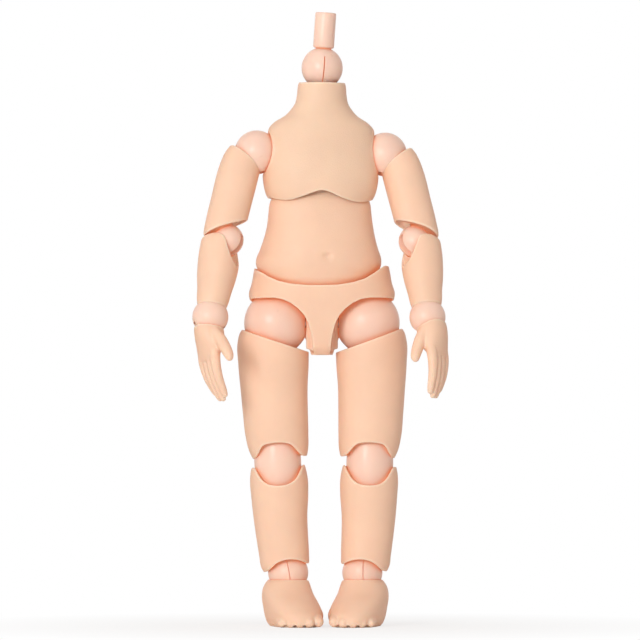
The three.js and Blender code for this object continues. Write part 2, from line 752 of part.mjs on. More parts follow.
function forearmPiece() {
  const { radius, tab } = elbow;
  const edge = forearmTopShares.map(([out, up]) => [out * radius, up * radius]);
  const away = slab([...edge, [-far, edge.at(-1)[1]], [-far, far], [far, far], [far, edge[0][1]]], -far, far);
  const half = tab / 2;
  // a tab rises from the sleeve into the slot of the ball
  const arm = cut(sleeve(forearm, forearmShares), away, ball(radius + slip));
  const stalk = block([-elbow.stem, -half, -radius - overrun], [elbow.stem, half, 0]);
  const eye = rod(elbow.disc, [0, -half, 0], [0, half, 0], 12);
  const pinHole = rod(elbow.pin + fit, [0, -half - overrun, 0], [0, half + overrun, 0]);
  const wristRoom = moved(join(ball(wrist.radius + slip), postHole(wrist)), [wristAt.out, 0, -wristAt.down]);
  return cut(join(arm, stalk, eye), pinHole, wristRoom);
}

// A ball with its post, which stops short of the disc that turns inside
function joinedPost(size, made) {
  const { disc, tab } = size;
  return join(made, cut(post(size), rod(disc + slip, [0, -tab, 0], [0, tab, 0], 16)));
}

function elbowBallPiece() {
  return joinedPost(elbow, slottedBall(elbow, -100, 8));
}

function wristBallPiece() {
  return joinedPost(wrist, slottedBall(wrist, -45, 45));
}

// Hands: a palm that faces the body, four fingers and a thumb that points forwards and in
const hand = {
  width: 2.65, depth: 2.9, top: 1.65, palm: 5, finger: 0.72, fingerLength: 7.4,
  thumb: 0.9, thumbLength: 4.9, thumbTurn: 35, thumbInset: 0.16, thumbAhead: 1.45, thumbDrop: 2.25,
};
const palmShares = [
  // down the palm, half thickness, half breadth, and its middle outwards
  [0, 0.98, 0.86, 0.06],
  [0.12, 1, 0.94, 0.04],
  [0.5, 0.9, 1.02, -0.08],
  [0.85, 0.68, 1.02, -0.16],
  [1.05, 0.48, 0.98, -0.2],
];
const fingerShares = [
  // down a finger and outward, as shares of its length, then its radius
  [-0.15, 0.02, 1], [0.25, -0.1, 1], [0.6, -0.27, 0.94], [0.88, -0.45, 0.84], [1, -0.53, 0.45],
];
const palmDriftShare = 0.18; // how far in the fingers start
const fingerSpreadShares = [-0.74, -0.25, 0.25, 0.74];
const fingerReachShares = [0.93, 1, 0.97, 0.82];
const thumbShares = [
  // down the thumb and outward, as shares of its length, then its radius
  [-0.05, 0.1, 0.9], [0.3, -0.35, 1.15], [0.65, -0.7, 1], [0.9, -0.86, 0.86], [1, -0.9, 0.45],
];

function handPiece() {
  const { width, depth, top, palm, finger, fingerLength, thumb } = hand;
  const half = wrist.tab / 2;
  const rings = palmShares.map(([down, thick, broad, middle]) => ({
    z: -top - palm * down,
    x: width * thick,
    front: depth * broad,
    back: depth * broad,
    cx: width * middle,
    square: 2.3,
  }));
  let body = ringed(rings.reverse(), 16);
  fingerSpreadShares.forEach((across, i) => {
    const long = fingerLength * fingerReachShares[i];
    const line = fingerShares.map(([down, out, wide]) => ({
      z: -top - palm - down * long,
      x: finger * wide,
      front: finger * wide,
      back: finger * wide,
      cx: out * long - width * palmDriftShare,
    }));
    body = join(body, moved(ringed(line.reverse(), 8), [0, across * depth, 0]));
  });
  const line = thumbShares.map(([down, out, wide]) => ({
    z: -down * hand.thumbLength,
    x: thumb * wide,
    front: thumb * wide,
    back: thumb * wide,
    cx: out * hand.thumbLength,
  }));
  const thumbBody = turned(ringed(line.reverse(), 8), 0, 0, hand.thumbTurn);
  body = join(body, moved(thumbBody, [-hand.thumbInset, -hand.thumbAhead, -hand.thumbDrop]));
  body = cut(body, ball(wrist.radius + slip));
  const stalk = block([-wrist.stem, -half, -wrist.radius - overrun], [wrist.stem, half, 0]);
  const eye = rod(wrist.disc, [0, -half, 0], [0, half, 0], 12);
  return cut(join(body, stalk, eye), rod(wrist.pin + fit, [0, -half - overrun, 0], [0, half + overrun, 0]));
}

// The assembly, from the hips up and down
const legHeight = (side) => footHeight + ankleDrop * Math.cos(radians(lean[side]));
const hipHeight = (legHeight('left') + legHeight('right')) / 2;
const hipRoll = Math.asin((legHeight('left') - legHeight('right')) / (2 * hipHalf));
const hipRollDegrees = THREE.MathUtils.radToDeg(hipRoll);

const pelvis = jointAt(doll, 'pelvis', [0, 0, hipHeight], [['y', -hipRollDegrees]]);
const covers = hipCovers();
piece(pelvis, 'pelvis_front', covers.front, skin);
piece(pelvis, 'pelvis_back', covers.back, skin);
const axleHalf = hipHalf - hip.flat + hipAxle.engage;
piece(
  pelvis,
  'hip_axle',
  join(
    rod(hipAxle.radius, [-axleHalf, 0, 0], [axleHalf, 0, 0], 12),
    rod(hipAxle.collar, [-hipAxle.collarHeight / 2, 0, 0], [hipAxle.collarHeight / 2, 0, 0], 12),
  ),
  pinSteel,
);

const waistTurn = jointAt(pelvis, 'waist_turn', [spineShift, 0, waistRise], [['z', bellyTurn]]);
piece(waistTurn, 'waist_post', waistPostPiece(), jointSkin);
const waistBend = jointAt(waistTurn, 'waist_bend', [0, 0, 0]);
piece(waistBend, 'abdomen', bellyPiece(), skin);
const waistPinHalf = waist.pinHalf - fit;
piece(waistBend, 'waist_pin', rod(waist.pin, [-waistPinHalf, 0, 0], [waistPinHalf, 0, 0]), pinSteel);

const spineBend = jointAt(waistBend, 'spine_bend', [0, 0, spineRise]);
piece(spineBend, 'spine_ball', turned(slottedBall(spine, -14, 14), 0, 180, 0), jointSkin);
piece(spineBend, 'spine_pin', pinFor(spine), pinSteel);
const spineLean = jointAt(spineBend, 'spine_lean', [0, 0, 0], [['y', chestLean]]);
piece(spineLean, 'spine_post', turned(hingeTab(spine), 180, 0, 0), jointSkin);
const chestGroup = jointAt(spineLean, 'chest_turn', [0, 0, 0], [['z', chestTurn]]);
const shells = chestShells();
piece(chestGroup, 'chest_front', shells.front, skin);
piece(chestGroup, 'chest_back', shells.back, skin);

const neckTurn = jointAt(chestGroup, 'neck_turn', [0, 0, neckRise]);
piece(neckTurn, 'neck_post', turned(hingeTab(neck), 0, 0, 90), jointSkin);
const neckNod = jointAt(neckTurn, 'neck_nod', [0, 0, 0]);
piece(neckNod, 'neck_ball', neckBallPiece(), jointSkin);
piece(neckNod, 'neck_pin', turned(pinFor(neck), 0, 0, 90), pinSteel);
const neckSide = jointAt(neckNod, 'neck_lean', [0, 0, 0], [['y', neckLean]]);
piece(neckSide, 'neck_peg', neckPegPiece(), jointSkin);

for (const [name, side] of [['left', 1], ['right', -1]]) {
  const swing = jointAt(chestGroup, `${name}_shoulder_swing`, [side * shoulderHalf, 0, shoulderRise], [
    ['x', -reach[name]],
  ]);
  piece(swing, `${name}_shoulder_ball`, shoulderBallPiece(), jointSkin, side);
  piece(swing, `${name}_shoulder_pin`, pinFor(shoulder), pinSteel, side);
  const lift = jointAt(swing, `${name}_shoulder_raise`, [0, 0, 0], [['y', -side * raise[name]]]);
  piece(lift, `${name}_shoulder_hinge`, hingeTab(shoulder), jointSkin, side);
  const twist = jointAt(lift, `${name}_arm_turn`, [0, 0, 0]);
  piece(twist, `${name}_upper_arm`, upperArmPiece(), skin, side);
  const elbowTurn = jointAt(twist, `${name}_elbow_turn`, [side * elbowAt.out, 0, -elbowAt.down], [
    ['z', side * elbowTwist[name]],
  ]);
  piece(elbowTurn, `${name}_elbow_ball`, elbowBallPiece(), jointSkin, side);
  piece(elbowTurn, `${name}_elbow_pin`, pinFor(elbow), pinSteel, side);
  const bend = jointAt(elbowTurn, `${name}_elbow_bend`, [0, 0, 0], [['y', side * elbowFlex[name]]]);
  piece(bend, `${name}_forearm`, forearmPiece(), skin, side);
  const handTurn = jointAt(bend, `${name}_wrist_turn`, [side * wristAt.out, 0, -wristAt.down], [
    ['z', side * wristTurn[name]],
  ]);
  piece(handTurn, `${name}_wrist_ball`, wristBallPiece(), jointSkin, side);
  piece(handTurn, `${name}_wrist_pin`, pinFor(wrist), pinSteel, side);
  const handBend = jointAt(handTurn, `${name}_wrist_bend`, [0, 0, 0], [['y', side * wristFlex[name]]]);
  piece(handBend, `${name}_hand`, handPiece(), skin, side);

  const legTurn = side * lean[name] + hipRollDegrees;
  const hipSwing = jointAt(pelvis, `${name}_hip_swing`, [side * hipHalf, 0, 0]);
  const boreEnd = -hip.flat + hipAxle.engage + slip;
  const hipBall = cut(
    slottedBall(hip, -6, 46, 18, 10),
    block([-far, -far, -far], [-hip.flat, far, far]),
    rod(hipAxle.radius + fit, [-hip.flat - overrun, 0, 0], [boreEnd, 0, 0], 12),
  );
  piece(hipSwing, `${name}_hip_ball`, hipBall, jointSkin, side);
  piece(hipSwing, `${name}_hip_pin`, pinFor(hip), pinSteel, side);
  const spread = jointAt(hipSwing, `${name}_hip_spread`, [0, 0, 0], [['y', legTurn]]);
  piece(spread, `${name}_hip_hinge`, hingeTab(hip), jointSkin, side);
  const legTwist = jointAt(spread, `${name}_thigh_turn`, [0, 0, 0]);
  piece(legTwist, `${name}_thigh`, thighPiece(), skin, side);
  const kneeUp = jointAt(legTwist, `${name}_knee_upper`, [side * kneeOut, 0, -kneeDrop + knee.pinRise]);
  const kneeGroup = jointAt(kneeUp, `${name}_knee`, [0, 0, -knee.pinRise]);
  piece(kneeGroup, `${name}_knee_block`, kneeBlockPiece(), jointSkin, side);
  const upperPin = jointAt(kneeGroup, '', [0, 0, knee.pinRise]);
  piece(upperPin, `${name}_knee_upper_pin`, kneePin(), pinSteel, side);
  const kneeLow = jointAt(kneeGroup, `${name}_knee_lower`, [0, 0, -knee.pinRise]);
  piece(kneeLow, `${name}_knee_lower_pin`, kneePin(), pinSteel, side);
  const ankleTurn = jointAt(kneeLow, `${name}_ankle_turn`, [
    -side * kneeOut,
    0,
    kneeDrop + knee.pinRise - ankleDrop,
  ]);
  piece(ankleTurn, `${name}_shin`, shinPiece(), skin, side);
  const ankleTwist = jointAt(ankleTurn, `${name}_ankle_twist`, [0, 0, 0], [['z', -side * toeIn[name]]]);
  piece(ankleTwist, `${name}_ankle_post`, turned(hingeTab(ankle), 180, 0, 90), jointSkin, side);
  const anklePitch = jointAt(ankleTwist, `${name}_ankle_pitch`, [0, 0, 0]);
  piece(anklePitch, `${name}_ankle_ball`, ankleBallPiece(), jointSkin, side);
  piece(anklePitch, `${name}_ankle_pin`, turned(pinFor(ankle), 0, 0, 90), pinSteel, side);
  const footTilt = jointAt(anklePitch, `${name}_ankle_tilt`, [0, 0, 0]);
  // the foot stands level, whatever the leg's lean
  doll.updateMatrixWorld(true);
  const level = new THREE.Quaternion().setFromAxisAngle(
    new THREE.Vector3(0, 0, 1),
    radians(-side * toeIn[name]),
  );
  const carried = anklePitch.getWorldQuaternion(new THREE.Quaternion());
  footTilt.quaternion.copy(carried.invert().multiply(level));
  piece(footTilt, `${name}_foot`, footPiece(), skin, side);
}

// The doll stands on z = 0 with the middle of its outline over the origin
doll.updateMatrixWorld(true);
const outline = new THREE.Box3().setFromObject(doll, true);
const middle = outline.getCenter(new THREE.Vector3());
doll.position.set(-middle.x, -middle.y, -outline.min.z);
doll.updateMatrixWorld(true);

export default doll;
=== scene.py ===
import json
import math

import bmesh
import bpy
import numpy as np
from mathutils import Matrix, Vector


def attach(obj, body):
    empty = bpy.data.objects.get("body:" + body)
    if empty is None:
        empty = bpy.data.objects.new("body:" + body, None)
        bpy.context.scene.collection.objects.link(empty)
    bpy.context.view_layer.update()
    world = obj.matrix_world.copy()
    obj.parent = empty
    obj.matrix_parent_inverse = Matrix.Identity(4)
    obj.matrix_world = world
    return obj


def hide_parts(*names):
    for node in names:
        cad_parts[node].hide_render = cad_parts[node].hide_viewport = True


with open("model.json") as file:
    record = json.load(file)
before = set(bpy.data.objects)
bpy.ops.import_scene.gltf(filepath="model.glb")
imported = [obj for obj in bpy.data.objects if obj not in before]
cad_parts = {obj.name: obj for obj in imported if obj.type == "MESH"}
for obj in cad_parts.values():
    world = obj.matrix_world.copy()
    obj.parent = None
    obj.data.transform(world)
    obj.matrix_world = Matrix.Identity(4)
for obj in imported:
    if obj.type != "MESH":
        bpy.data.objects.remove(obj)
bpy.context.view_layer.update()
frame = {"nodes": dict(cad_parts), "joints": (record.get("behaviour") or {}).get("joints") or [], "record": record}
scene = bpy.context.scene
scene.view_settings.view_transform = "Standard"

# Camera and studio: a long lens level with the middle of the doll, a white floor and backdrop,
# and three soft lamps, the main one in front of the doll, from the left of the picture.
photo_width = 640
photo_middle = (321.8, 320)  # the pixel that the lens looks at
sole_line = 626.5
mm_per_pixel = 0.171
pelvis_across = 0.18  # the middle of the hips, in millimetres
sensor_width = 36
camera_distance = 1.5

camera_data = bpy.data.cameras.new("camera")
camera_data.sensor_width = sensor_width
camera_data.lens = sensor_width * camera_distance / (photo_width * mm_per_pixel / 1000)
camera_data.clip_start = 0.01
camera_data.clip_end = 20
camera = bpy.data.objects.new("camera", camera_data)
camera.location = (
    (pelvis_across + (photo_width / 2 - photo_middle[0]) * mm_per_pixel) / 1000,
    -camera_distance,
    (sole_line - photo_middle[1]) * mm_per_pixel / 1000,
)
camera.rotation_euler = (math.pi / 2, 0, 0)
scene.collection.objects.link(camera)
scene.camera = camera

doll_middle = Vector((0, 0, 0.055))
for lamp_name, lamp_place, lamp_size, lamp_power, lamp_colour in (
    ("main_lamp", (-0.42, -0.92, 0.28), 0.36, 4.9, (0.97, 1, 1)),
    ("fill_lamp", (0.3, -1.1, 0.1), 0.5, 0.6, (1, 0.95, 0.92)),
    ("top_lamp", (-0.1, -0.1, 0.7), 0.5, 0.5, (1, 1, 1)),
):
    light = bpy.data.lights.new(lamp_name, "AREA")
    light.shape = "DISK"
    light.size = lamp_size
    light.energy = lamp_power
    light.color = lamp_colour
    lamp = bpy.data.objects.new(lamp_name, light)
    lamp.location = lamp_place
    lamp.rotation_euler = (doll_middle - Vector(lamp_place)).to_track_quat("-Z", "Y").to_euler()
    scene.collection.objects.link(lamp)


def feed(tree, node, inputs):
    """Sets a node's inputs: a socket is linked, anything else is a fixed value."""
    for key, value in inputs.items():
        if isinstance(value, bpy.types.NodeSocket):
            tree.links.new(value, node.inputs[key])
        else:
            node.inputs[key].default_value = value


def add_node(tree, kind, inputs=None, **settings):
    node = tree.nodes.new("ShaderNode" + kind)
    for name, value in settings.items():
        setattr(node, name, value)
    feed(tree, node, inputs or {})
    return node


def combined(tree, operation, first, second, **settings):
    return add_node(tree, "Math", {0: first, 1: second}, operation=operation, **settings).outputs[0]


def ranged(tree, value, start, end, low=0, high=1):
    """A value taken from one range to another, and held at its ends."""
    inputs = {"Value": value, "From Min": start, "From Max": end, "To Min": low, "To Max": high}
    return add_node(tree, "MapRange", inputs).outputs["Result"]


def mixed(tree, share, first, second):
    inputs = {"Factor": share, "A": first, "B": second}
    return add_node(tree, "Mix", inputs, data_type="RGBA").outputs["Result"]


white = (1, 1, 1, 1)
world = bpy.data.worlds.new("studio")
scene.world = world
world.use_nodes = True
world_tree = world.node_tree
world_tree.nodes.clear()
room_light = add_node(world_tree, "Background", {"Color": (1, 0.89, 0.83, 1), "Strength": 0.48})
seen_white = add_node(world_tree, "Background", {"Color": white, "Strength": 1})
rays = add_node(world_tree, "LightPath").outputs
seen_rays = combined(world_tree, "MAXIMUM", rays["Is Camera Ray"], rays["Is Glossy Ray"])
seen_rays = combined(world_tree, "MAXIMUM", seen_rays, rays["Is Transmission Ray"])
world_mix = add_node(
    world_tree, "MixShader", {"Fac": seen_rays, 1: room_light.outputs[0], 2: seen_white.outputs[0]}
)
add_node(world_tree, "OutputWorld", {"Surface": world_mix.outputs[0]})

floor_half = 3
floor_mesh = bpy.data.meshes.new("floor")
floor_corners = [(x * floor_half, y * floor_half, 0) for x, y in ((-1, -1), (1, -1), (1, 1), (-1, 1))]
floor_mesh.from_pydata(floor_corners, [], [(0, 1, 2, 3)])
floor = bpy.data.objects.new("floor", floor_mesh)
scene.collection.objects.link(floor)
floor_paint = bpy.data.materials.new("floor_paint")
floor_paint.use_nodes = True
floor_tree = floor_paint.node_tree
floor_shader = floor_tree.nodes["Principled BSDF"]
feed(floor_tree, floor_shader, {"Base Color": (0.95, 0.95, 0.95, 1), "Roughness": 0.9})
# further off, the floor turns into the plain white of the backdrop
floor_where = add_node(floor_tree, "TexCoord").outputs["Object"]
floor_far = add_node(floor_tree, "VectorMath", {0: floor_where}, operation="LENGTH").outputs["Value"]
floor_fade = ranged(floor_tree, floor_far, 0.02, 0.075, 0.72)
floor_rays = add_node(floor_tree, "LightPath").outputs
floor_seen = combined(floor_tree, "MULTIPLY", floor_fade, floor_rays["Is Camera Ray"])
floor_white = add_node(floor_tree, "Emission").outputs[0]
floor_mix = add_node(
    floor_tree, "MixShader", {"Fac": floor_seen, 1: floor_shader.outputs[0], 2: floor_white}
)
feed(floor_tree, floor_tree.nodes["Material Output"], {"Surface": floor_mix.outputs[0]})
floor_mesh.materials.append(floor_paint)


# Moulded skin-tone plastic, the same in every shell and joint: a soft mottle from the mould, a fine
# matt texture, painted shade (a warmer, deeper tone) in the folds, a painted highlight on the rims and a
# painted glow in the deepest gaps, which stands in for light that passes through the thin walls.
moulding = bpy.data.node_groups.new("moulded_plastic", "ShaderNodeTree")
for socket_name, way, kind, usual in (
    ("Colour", "INPUT", "Color", (0.9, 0.6, 0.45, 1)),
    ("Fold shade colour", "INPUT", "Color", (0.75, 0.25, 0.12, 1)),
    ("Fold shade amount", "INPUT", "Float", 0.6),
    ("Fold shade reach", "INPUT", "Float", 0.002),
    ("Roughness", "INPUT", "Float", 0.5),
    ("Grain depth", "INPUT", "Float", 0.02),
    ("Rim highlight colour", "INPUT", "Color", (1, 0.8, 0.65, 1)),
    ("Rim highlight amount", "INPUT", "Float", 0.5),
    ("Colour", "OUTPUT", "Color", None),
    ("Painted glow", "OUTPUT", "Float", None),
    ("Roughness", "OUTPUT", "Float", None),
    ("Normal", "OUTPUT", "Vector", None),
):
    socket = moulding.interface.new_socket(
        name=socket_name, in_out=way, socket_type="NodeSocket" + kind
    )
    if usual is not None:
        socket.default_value = usual
given = moulding.nodes.new("NodeGroupInput").outputs
made = moulding.nodes.new("NodeGroupOutput")
where = add_node(moulding, "TexCoord").outputs["Object"]


def noise(tree, place, scale, detail):
    return add_node(tree, "TexNoise", {"Vector": place, "Scale": scale, "Detail": detail}).outputs["Fac"]


mottle = ranged(moulding, noise(moulding, where, 160, 3), 0.3, 0.7, 0.97, 1.03)
tinted = add_node(moulding, "VectorMath", {0: given["Colour"], "Scale": mottle}, operation="SCALE")

# painted shade: where ambient occlusion finds a fold or gap, the colour turns warmer and darker
fold = add_node(moulding, "AmbientOcclusion", {"Distance": given["Fold shade reach"]}, samples=6)
# the floor's shadow under the soles is kept out of the painted fold shade
plain = add_node(moulding, "NewGeometry").outputs
height = add_node(moulding, "SeparateXYZ", {0: plain["Position"]}).outputs["Z"]
by_floor = ranged(moulding, height, 0.0035, 0.001)
openness = combined(moulding, "MAXIMUM", fold.outputs["AO"], by_floor)
fold_shade_depth = ranged(moulding, openness, 0.15, 0.75, 1, 0)
fold_shade_share = combined(moulding, "MULTIPLY", fold_shade_depth, given["Fold shade amount"])
fold_shaded = mixed(moulding, fold_shade_share, tinted.outputs["Vector"], given["Fold shade colour"])

# painted highlight: the rolled rims of a moulding are painted paler, as if they caught the light
rounded = add_node(moulding, "Bevel", {"Radius": 0.0006}, samples=4).outputs["Normal"]
alike = add_node(moulding, "VectorMath", {0: rounded, 1: plain["Normal"]}, operation="DOT_PRODUCT")
rim = ranged(moulding, alike.outputs["Value"], 0.995, 0.93)
rim_highlight_share = combined(moulding, "MULTIPLY", rim, given["Rim highlight amount"])

sheen_change = ranged(moulding, noise(moulding, where, 420, 2), 0, 1, -0.06, 0.06)
grain = noise(moulding, where, 5200, 2)
grain_bump = add_node(
    moulding, "Bump", {"Distance": 0.0001, "Height": grain, "Strength": given["Grain depth"]}
)
outcome = {
    "Colour": mixed(moulding, rim_highlight_share, fold_shaded, given["Rim highlight colour"]),
    # painted glow: the deepest gaps glow faintly, standing in for light that comes through the thin walls
    "Painted glow": ranged(moulding, openness, 0.05, 0.5, 1, 0),
    "Roughness": combined(moulding, "ADD", given["Roughness"], sheen_change, use_clamp=True),
    "Normal": grain_bump.outputs["Normal"],
}
feed(moulding, made, outcome)


def linear(red, green, blue):
    """A colour picked from the photo, as the renderer's linear values."""

    def one(value):
        share = value / 255
        return share / 12.92 if share <= 0.04045 else ((share + 0.055) / 1.055) ** 2.4

    return (one(red), one(green), one(blue), 1)


# painted shade colour for the folds and gaps
fold_shade_tone = linear(232, 158, 116)
# painted glow colour for the deepest gaps
painted_glow_colour = linear(240, 160, 108)
# painted highlight colour for the rims
rim_highlight_colour = linear(255, 233, 212)
# painted shade: a warmer, darker tone for surfaces that turn away from the eye
side_shade_tone = linear(236, 172, 134)  # where a surface turns away from the eye


def plastic(name, colour, roughness, grain_depth, side_shade_amount, rim_highlight_amount):
    material = bpy.data.materials.new(name)
    material.use_nodes = True
    tree = material.node_tree
    settings = {
        "Colour": colour,
        "Fold shade colour": fold_shade_tone,
        "Fold shade amount": 0.6,
        "Fold shade reach": 0.0012,
        "Roughness": roughness,
        "Grain depth": grain_depth,
        "Rim highlight colour": rim_highlight_colour,
        "Rim highlight amount": rim_highlight_amount,
    }
    finish = add_node(tree, "Group", settings, node_tree=moulding).outputs
    # painted shade: the colour turns warmer and darker towards the outline
    turning = add_node(tree, "LayerWeight", {"Blend": 0.35}).outputs["Facing"]
    side_shade_share = ranged(tree, turning, 0.25, 0.95, 0, side_shade_amount)
    shader_inputs = {
        "Base Color": mixed(tree, side_shade_share, finish["Colour"], side_shade_tone),
        "Roughness": finish["Roughness"],
        "Normal": finish["Normal"],
        "IOR": 1.46,
        "Specular IOR Level": 0.35,
        "Subsurface Weight": 0.2,
        "Subsurface Radius": (1.0, 0.35, 0.2),
        "Subsurface Scale": 0.0016,
        # painted glow: emission where the surface lies deep in a gap
        "Emission Color": painted_glow_colour,
        "Emission Strength": combined(tree, "MULTIPLY", finish["Painted glow"], 0.18),
    }
    feed(tree, tree.nodes["Principled BSDF"], shader_inputs)
    return material


shell_tone, joint_tone = linear(248, 208, 180), linear(251, 214, 195)
shell_plastic = plastic(
    "shell_plastic", shell_tone, roughness=0.5, grain_depth=0.35, side_shade_amount=0.35, rim_highlight_amount=0.85
)
joint_plastic = plastic(
    "joint_plastic", joint_tone, roughness=0.3, grain_depth=0.12, side_shade_amount=0.3, rim_highlight_amount=0
)


# Hip covers: a front and a back shell, moulded separately and closed on the axle between them,
# with a strip between the legs and a scooped edge round each hip ball.
joints = {joint["name"]: joint for joint in frame["joints"]}


def seat(joint_name, across=None, depth=None, up=None):
    """The place of a piece drawn in millimetres: at a joint, turned to two of its own directions."""
    directions = {"across": across, "depth": depth, "up": up}
    known = {key: Vector(value).normalized() for key, value in directions.items() if value is not None}
    if "across" not in known:
        known["across"] = known["depth"].cross(known["up"]).normalized()
    if "depth" not in known:
        known["depth"] = known["up"].cross(known["across"]).normalized()
    known["up"] = known["across"].cross(known["depth"]).normalized()
    turn = Matrix((known["across"], known["depth"], known["up"])).transposed().to_4x4()
    return Matrix.Translation(Vector(joints[joint_name]["pos_m"])) @ turn @ Matrix.Scale(0.001, 4)


def axis_of(joint_name, sign=1):
    return Vector(joints[joint_name]["axis"]) * sign


def placed_mesh(name, points, faces, place, side=1):
    """A mesh from points in millimetres. Side -1 mirrors it for the doll's right."""
    mesh = bpy.data.meshes.new(name)
    if side < 0:
        faces = [tuple(reversed(face)) for face in faces]
    mesh.from_pydata([(side * x, y, z) for x, y, z in points], [], faces)
    mesh.transform(place)
    mesh.update()
    return mesh


def add_piece(name, points, faces, place, material, body, side=1, slot="shell", replaced=None):
    """A smooth mesh from points in millimetres, mirrored for the doll's right, on its CAD body. It
    replaces the node of the body's own name, unless others are given."""
    mesh = placed_mesh(name, points, faces, place, side)
    mesh.shade_smooth()
    mesh.materials.append(material)
    made_piece = bpy.data.objects.new(name, mesh)
    scene.collection.objects.link(made_piece)
    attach(made_piece, body)
    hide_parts(*(replaced or [body]))
    return made_piece


def grid_faces(rows, columns, closed):
    faces = []
    for row in range(rows - 1):
        for column in range(columns if closed else columns - 1):
            after = (column + 1) % columns
            low, high = row * columns, (row + 1) * columns
            faces.append((low + column, low + after, high + after, high + column))
    return faces


def closed_faces(rows, columns):
    """Faces between rings, with one more face over each end."""
    ends = [tuple(reversed(range(columns))), tuple(range((rows - 1) * columns, rows * columns))]
    return grid_faces(rows, columns, True) + ends


def smooth_line(points, count):
    """A curve through given points, in even steps of its length."""
    placed = np.array(points, float)
    ends = np.vstack([2 * placed[0] - placed[1], placed, 2 * placed[-1] - placed[-2]])
    fine = []
    for i in range(1, len(ends) - 2):
        a, b, c, d = ends[i - 1], ends[i], ends[i + 1], ends[i + 2]
        for t in np.linspace(0, 1, 24, endpoint=False):
            bend = (2 * a - 5 * b + 4 * c - d) * t**2 + (3 * b - a - 3 * c + d) * t**3
            fine.append(0.5 * (2 * b + (c - a) * t + bend))
    fine.append(placed[-1])
    fine = np.array(fine)
    run = np.concatenate([[0], np.cumsum(np.linalg.norm(np.diff(fine, axis=0), axis=1))])
    even = np.linspace(0, run[-1], count)
    return np.column_stack([np.interp(even, run, fine[:, k]) for k in range(fine.shape[1])])


def smooth_table(levels):
    """Section sizes by height: a function that gives each size at any height, without steps."""
    table = np.array(sorted(levels), float)
    heights, values = table[:, 0], table[:, 1:]
    slopes = np.gradient(values, heights, axis=0)

    def sizes(height):
        height = np.clip(height, heights[0], heights[-1])
        i = np.clip(np.searchsorted(heights, height) - 1, 0, len(heights) - 2)
        gap = heights[i + 1] - heights[i]
        t = (height - heights[i]) / gap
        return [
            (2 * t**3 - 3 * t**2 + 1) * value[i]
            + (t**3 - 2 * t**2 + t) * gap * slope[i]
            + (3 * t**2 - 2 * t**3) * value[i + 1]
            + (t**3 - t**2) * gap * slope[i + 1]
            for value, slope in zip(values.T, slopes.T)
        ]

    return sizes


def ring_point(sizes, angle, height, square):
    """A point of a boxy oval section. Angle 0 is at +X, and the front, -Y, is at -90 degrees."""
    wide, front, back = sizes(height)[:3]
    c, s = np.cos(angle), np.sin(angle)
    depth = np.where(s < 0, front, back)
    return (
        wide * np.sign(c) * np.abs(c) ** (2 / square),
        depth * np.sign(s) * np.abs(s) ** (2 / square),
    )


def shell_solid(grid, thickness, rim, outward=1):
    """A moulded shell from its outer skin, given as rows and columns of points: it adds the inner
    skin and rolls both long edges with a small radius."""
    grid = np.array(grid, float)
    steps = np.linalg.norm(np.diff(grid, axis=0), axis=2)
    run = np.vstack([np.zeros(grid.shape[1]), np.cumsum(steps, axis=0)])
    turns = np.radians([0, 22, 45, 67, 90])
    rows, columns = grid.shape[:2]
    near = rim * (1 - np.cos(turns))
    rolled = rim * (1 - np.sin(turns))
    skin = np.zeros((rows + 2 * len(turns) - 2, columns, 3))
    inset = np.zeros(len(skin))
    inset[: len(turns)] = rolled
    inset[-len(turns) :] = rolled[::-1]
    for column in range(columns):
        whole = run[-1, column]
        inner = np.linspace(rim, whole - rim, rows)[1:-1]
        places = np.concatenate([near, inner, whole - near[::-1]])
        for k in range(3):
            skin[:, column, k] = np.interp(places, run[:, column], grid[:, column, k])
    along = np.gradient(skin, axis=0)
    around = np.gradient(skin, axis=1)
    # rows that lie close together near a rolled edge still give a steady direction
    normal = np.cross(around, along) * outward
    normal /= np.maximum(np.linalg.norm(normal, axis=2, keepdims=True), 1e-9)
    outer = skin - normal * inset[:, None, None]
    inner = skin - normal * (thickness - inset)[:, None, None]
    loop = np.concatenate([outer, inner[::-1]])
    count = len(loop)
    last = (count - 1) * columns
    faces = grid_faces(count, columns, False)
    faces += [(last + i, last + i + 1, i + 1, i) for i in range(columns - 1)]
    for i in range(len(outer) - 1):
        for column, flip in ((0, False), (columns - 1, True)):
            face = [row * columns + column for row in (i, i + 1, count - 2 - i, count - 1 - i)]
            faces.append(tuple(reversed(face)) if flip else tuple(face))
    if outward < 0:
        faces = [tuple(reversed(face)) for face in faces]
    return loop.reshape(-1, 3), faces


hip_half = 7.83
hip_radius = 5.5
cover_levels = [
    # height over the axle, then half width, front and back
    (-5.5, 2.5, 4.6, 3.1), (-4.5, 5.2, 5.65, 5.0), (-2.5, 8.3, 6.3, 6.9), (0, 10.3, 6.75, 7.6),
    (2.5, 11.55, 6.95, 7.8), (4.1, 12.4, 7.15, 7.8), (5.2, 12.5, 7.2, 7.72), (6.5, 12.1, 7.2, 7.4),
    (8.5, 11.72, 7.15, 6.9), (10.0, 11.45, 7.05, 6.5),
]
beyond, past_side, past_bottom = 20, 16, -9  # all of these are clear of the covers' skin

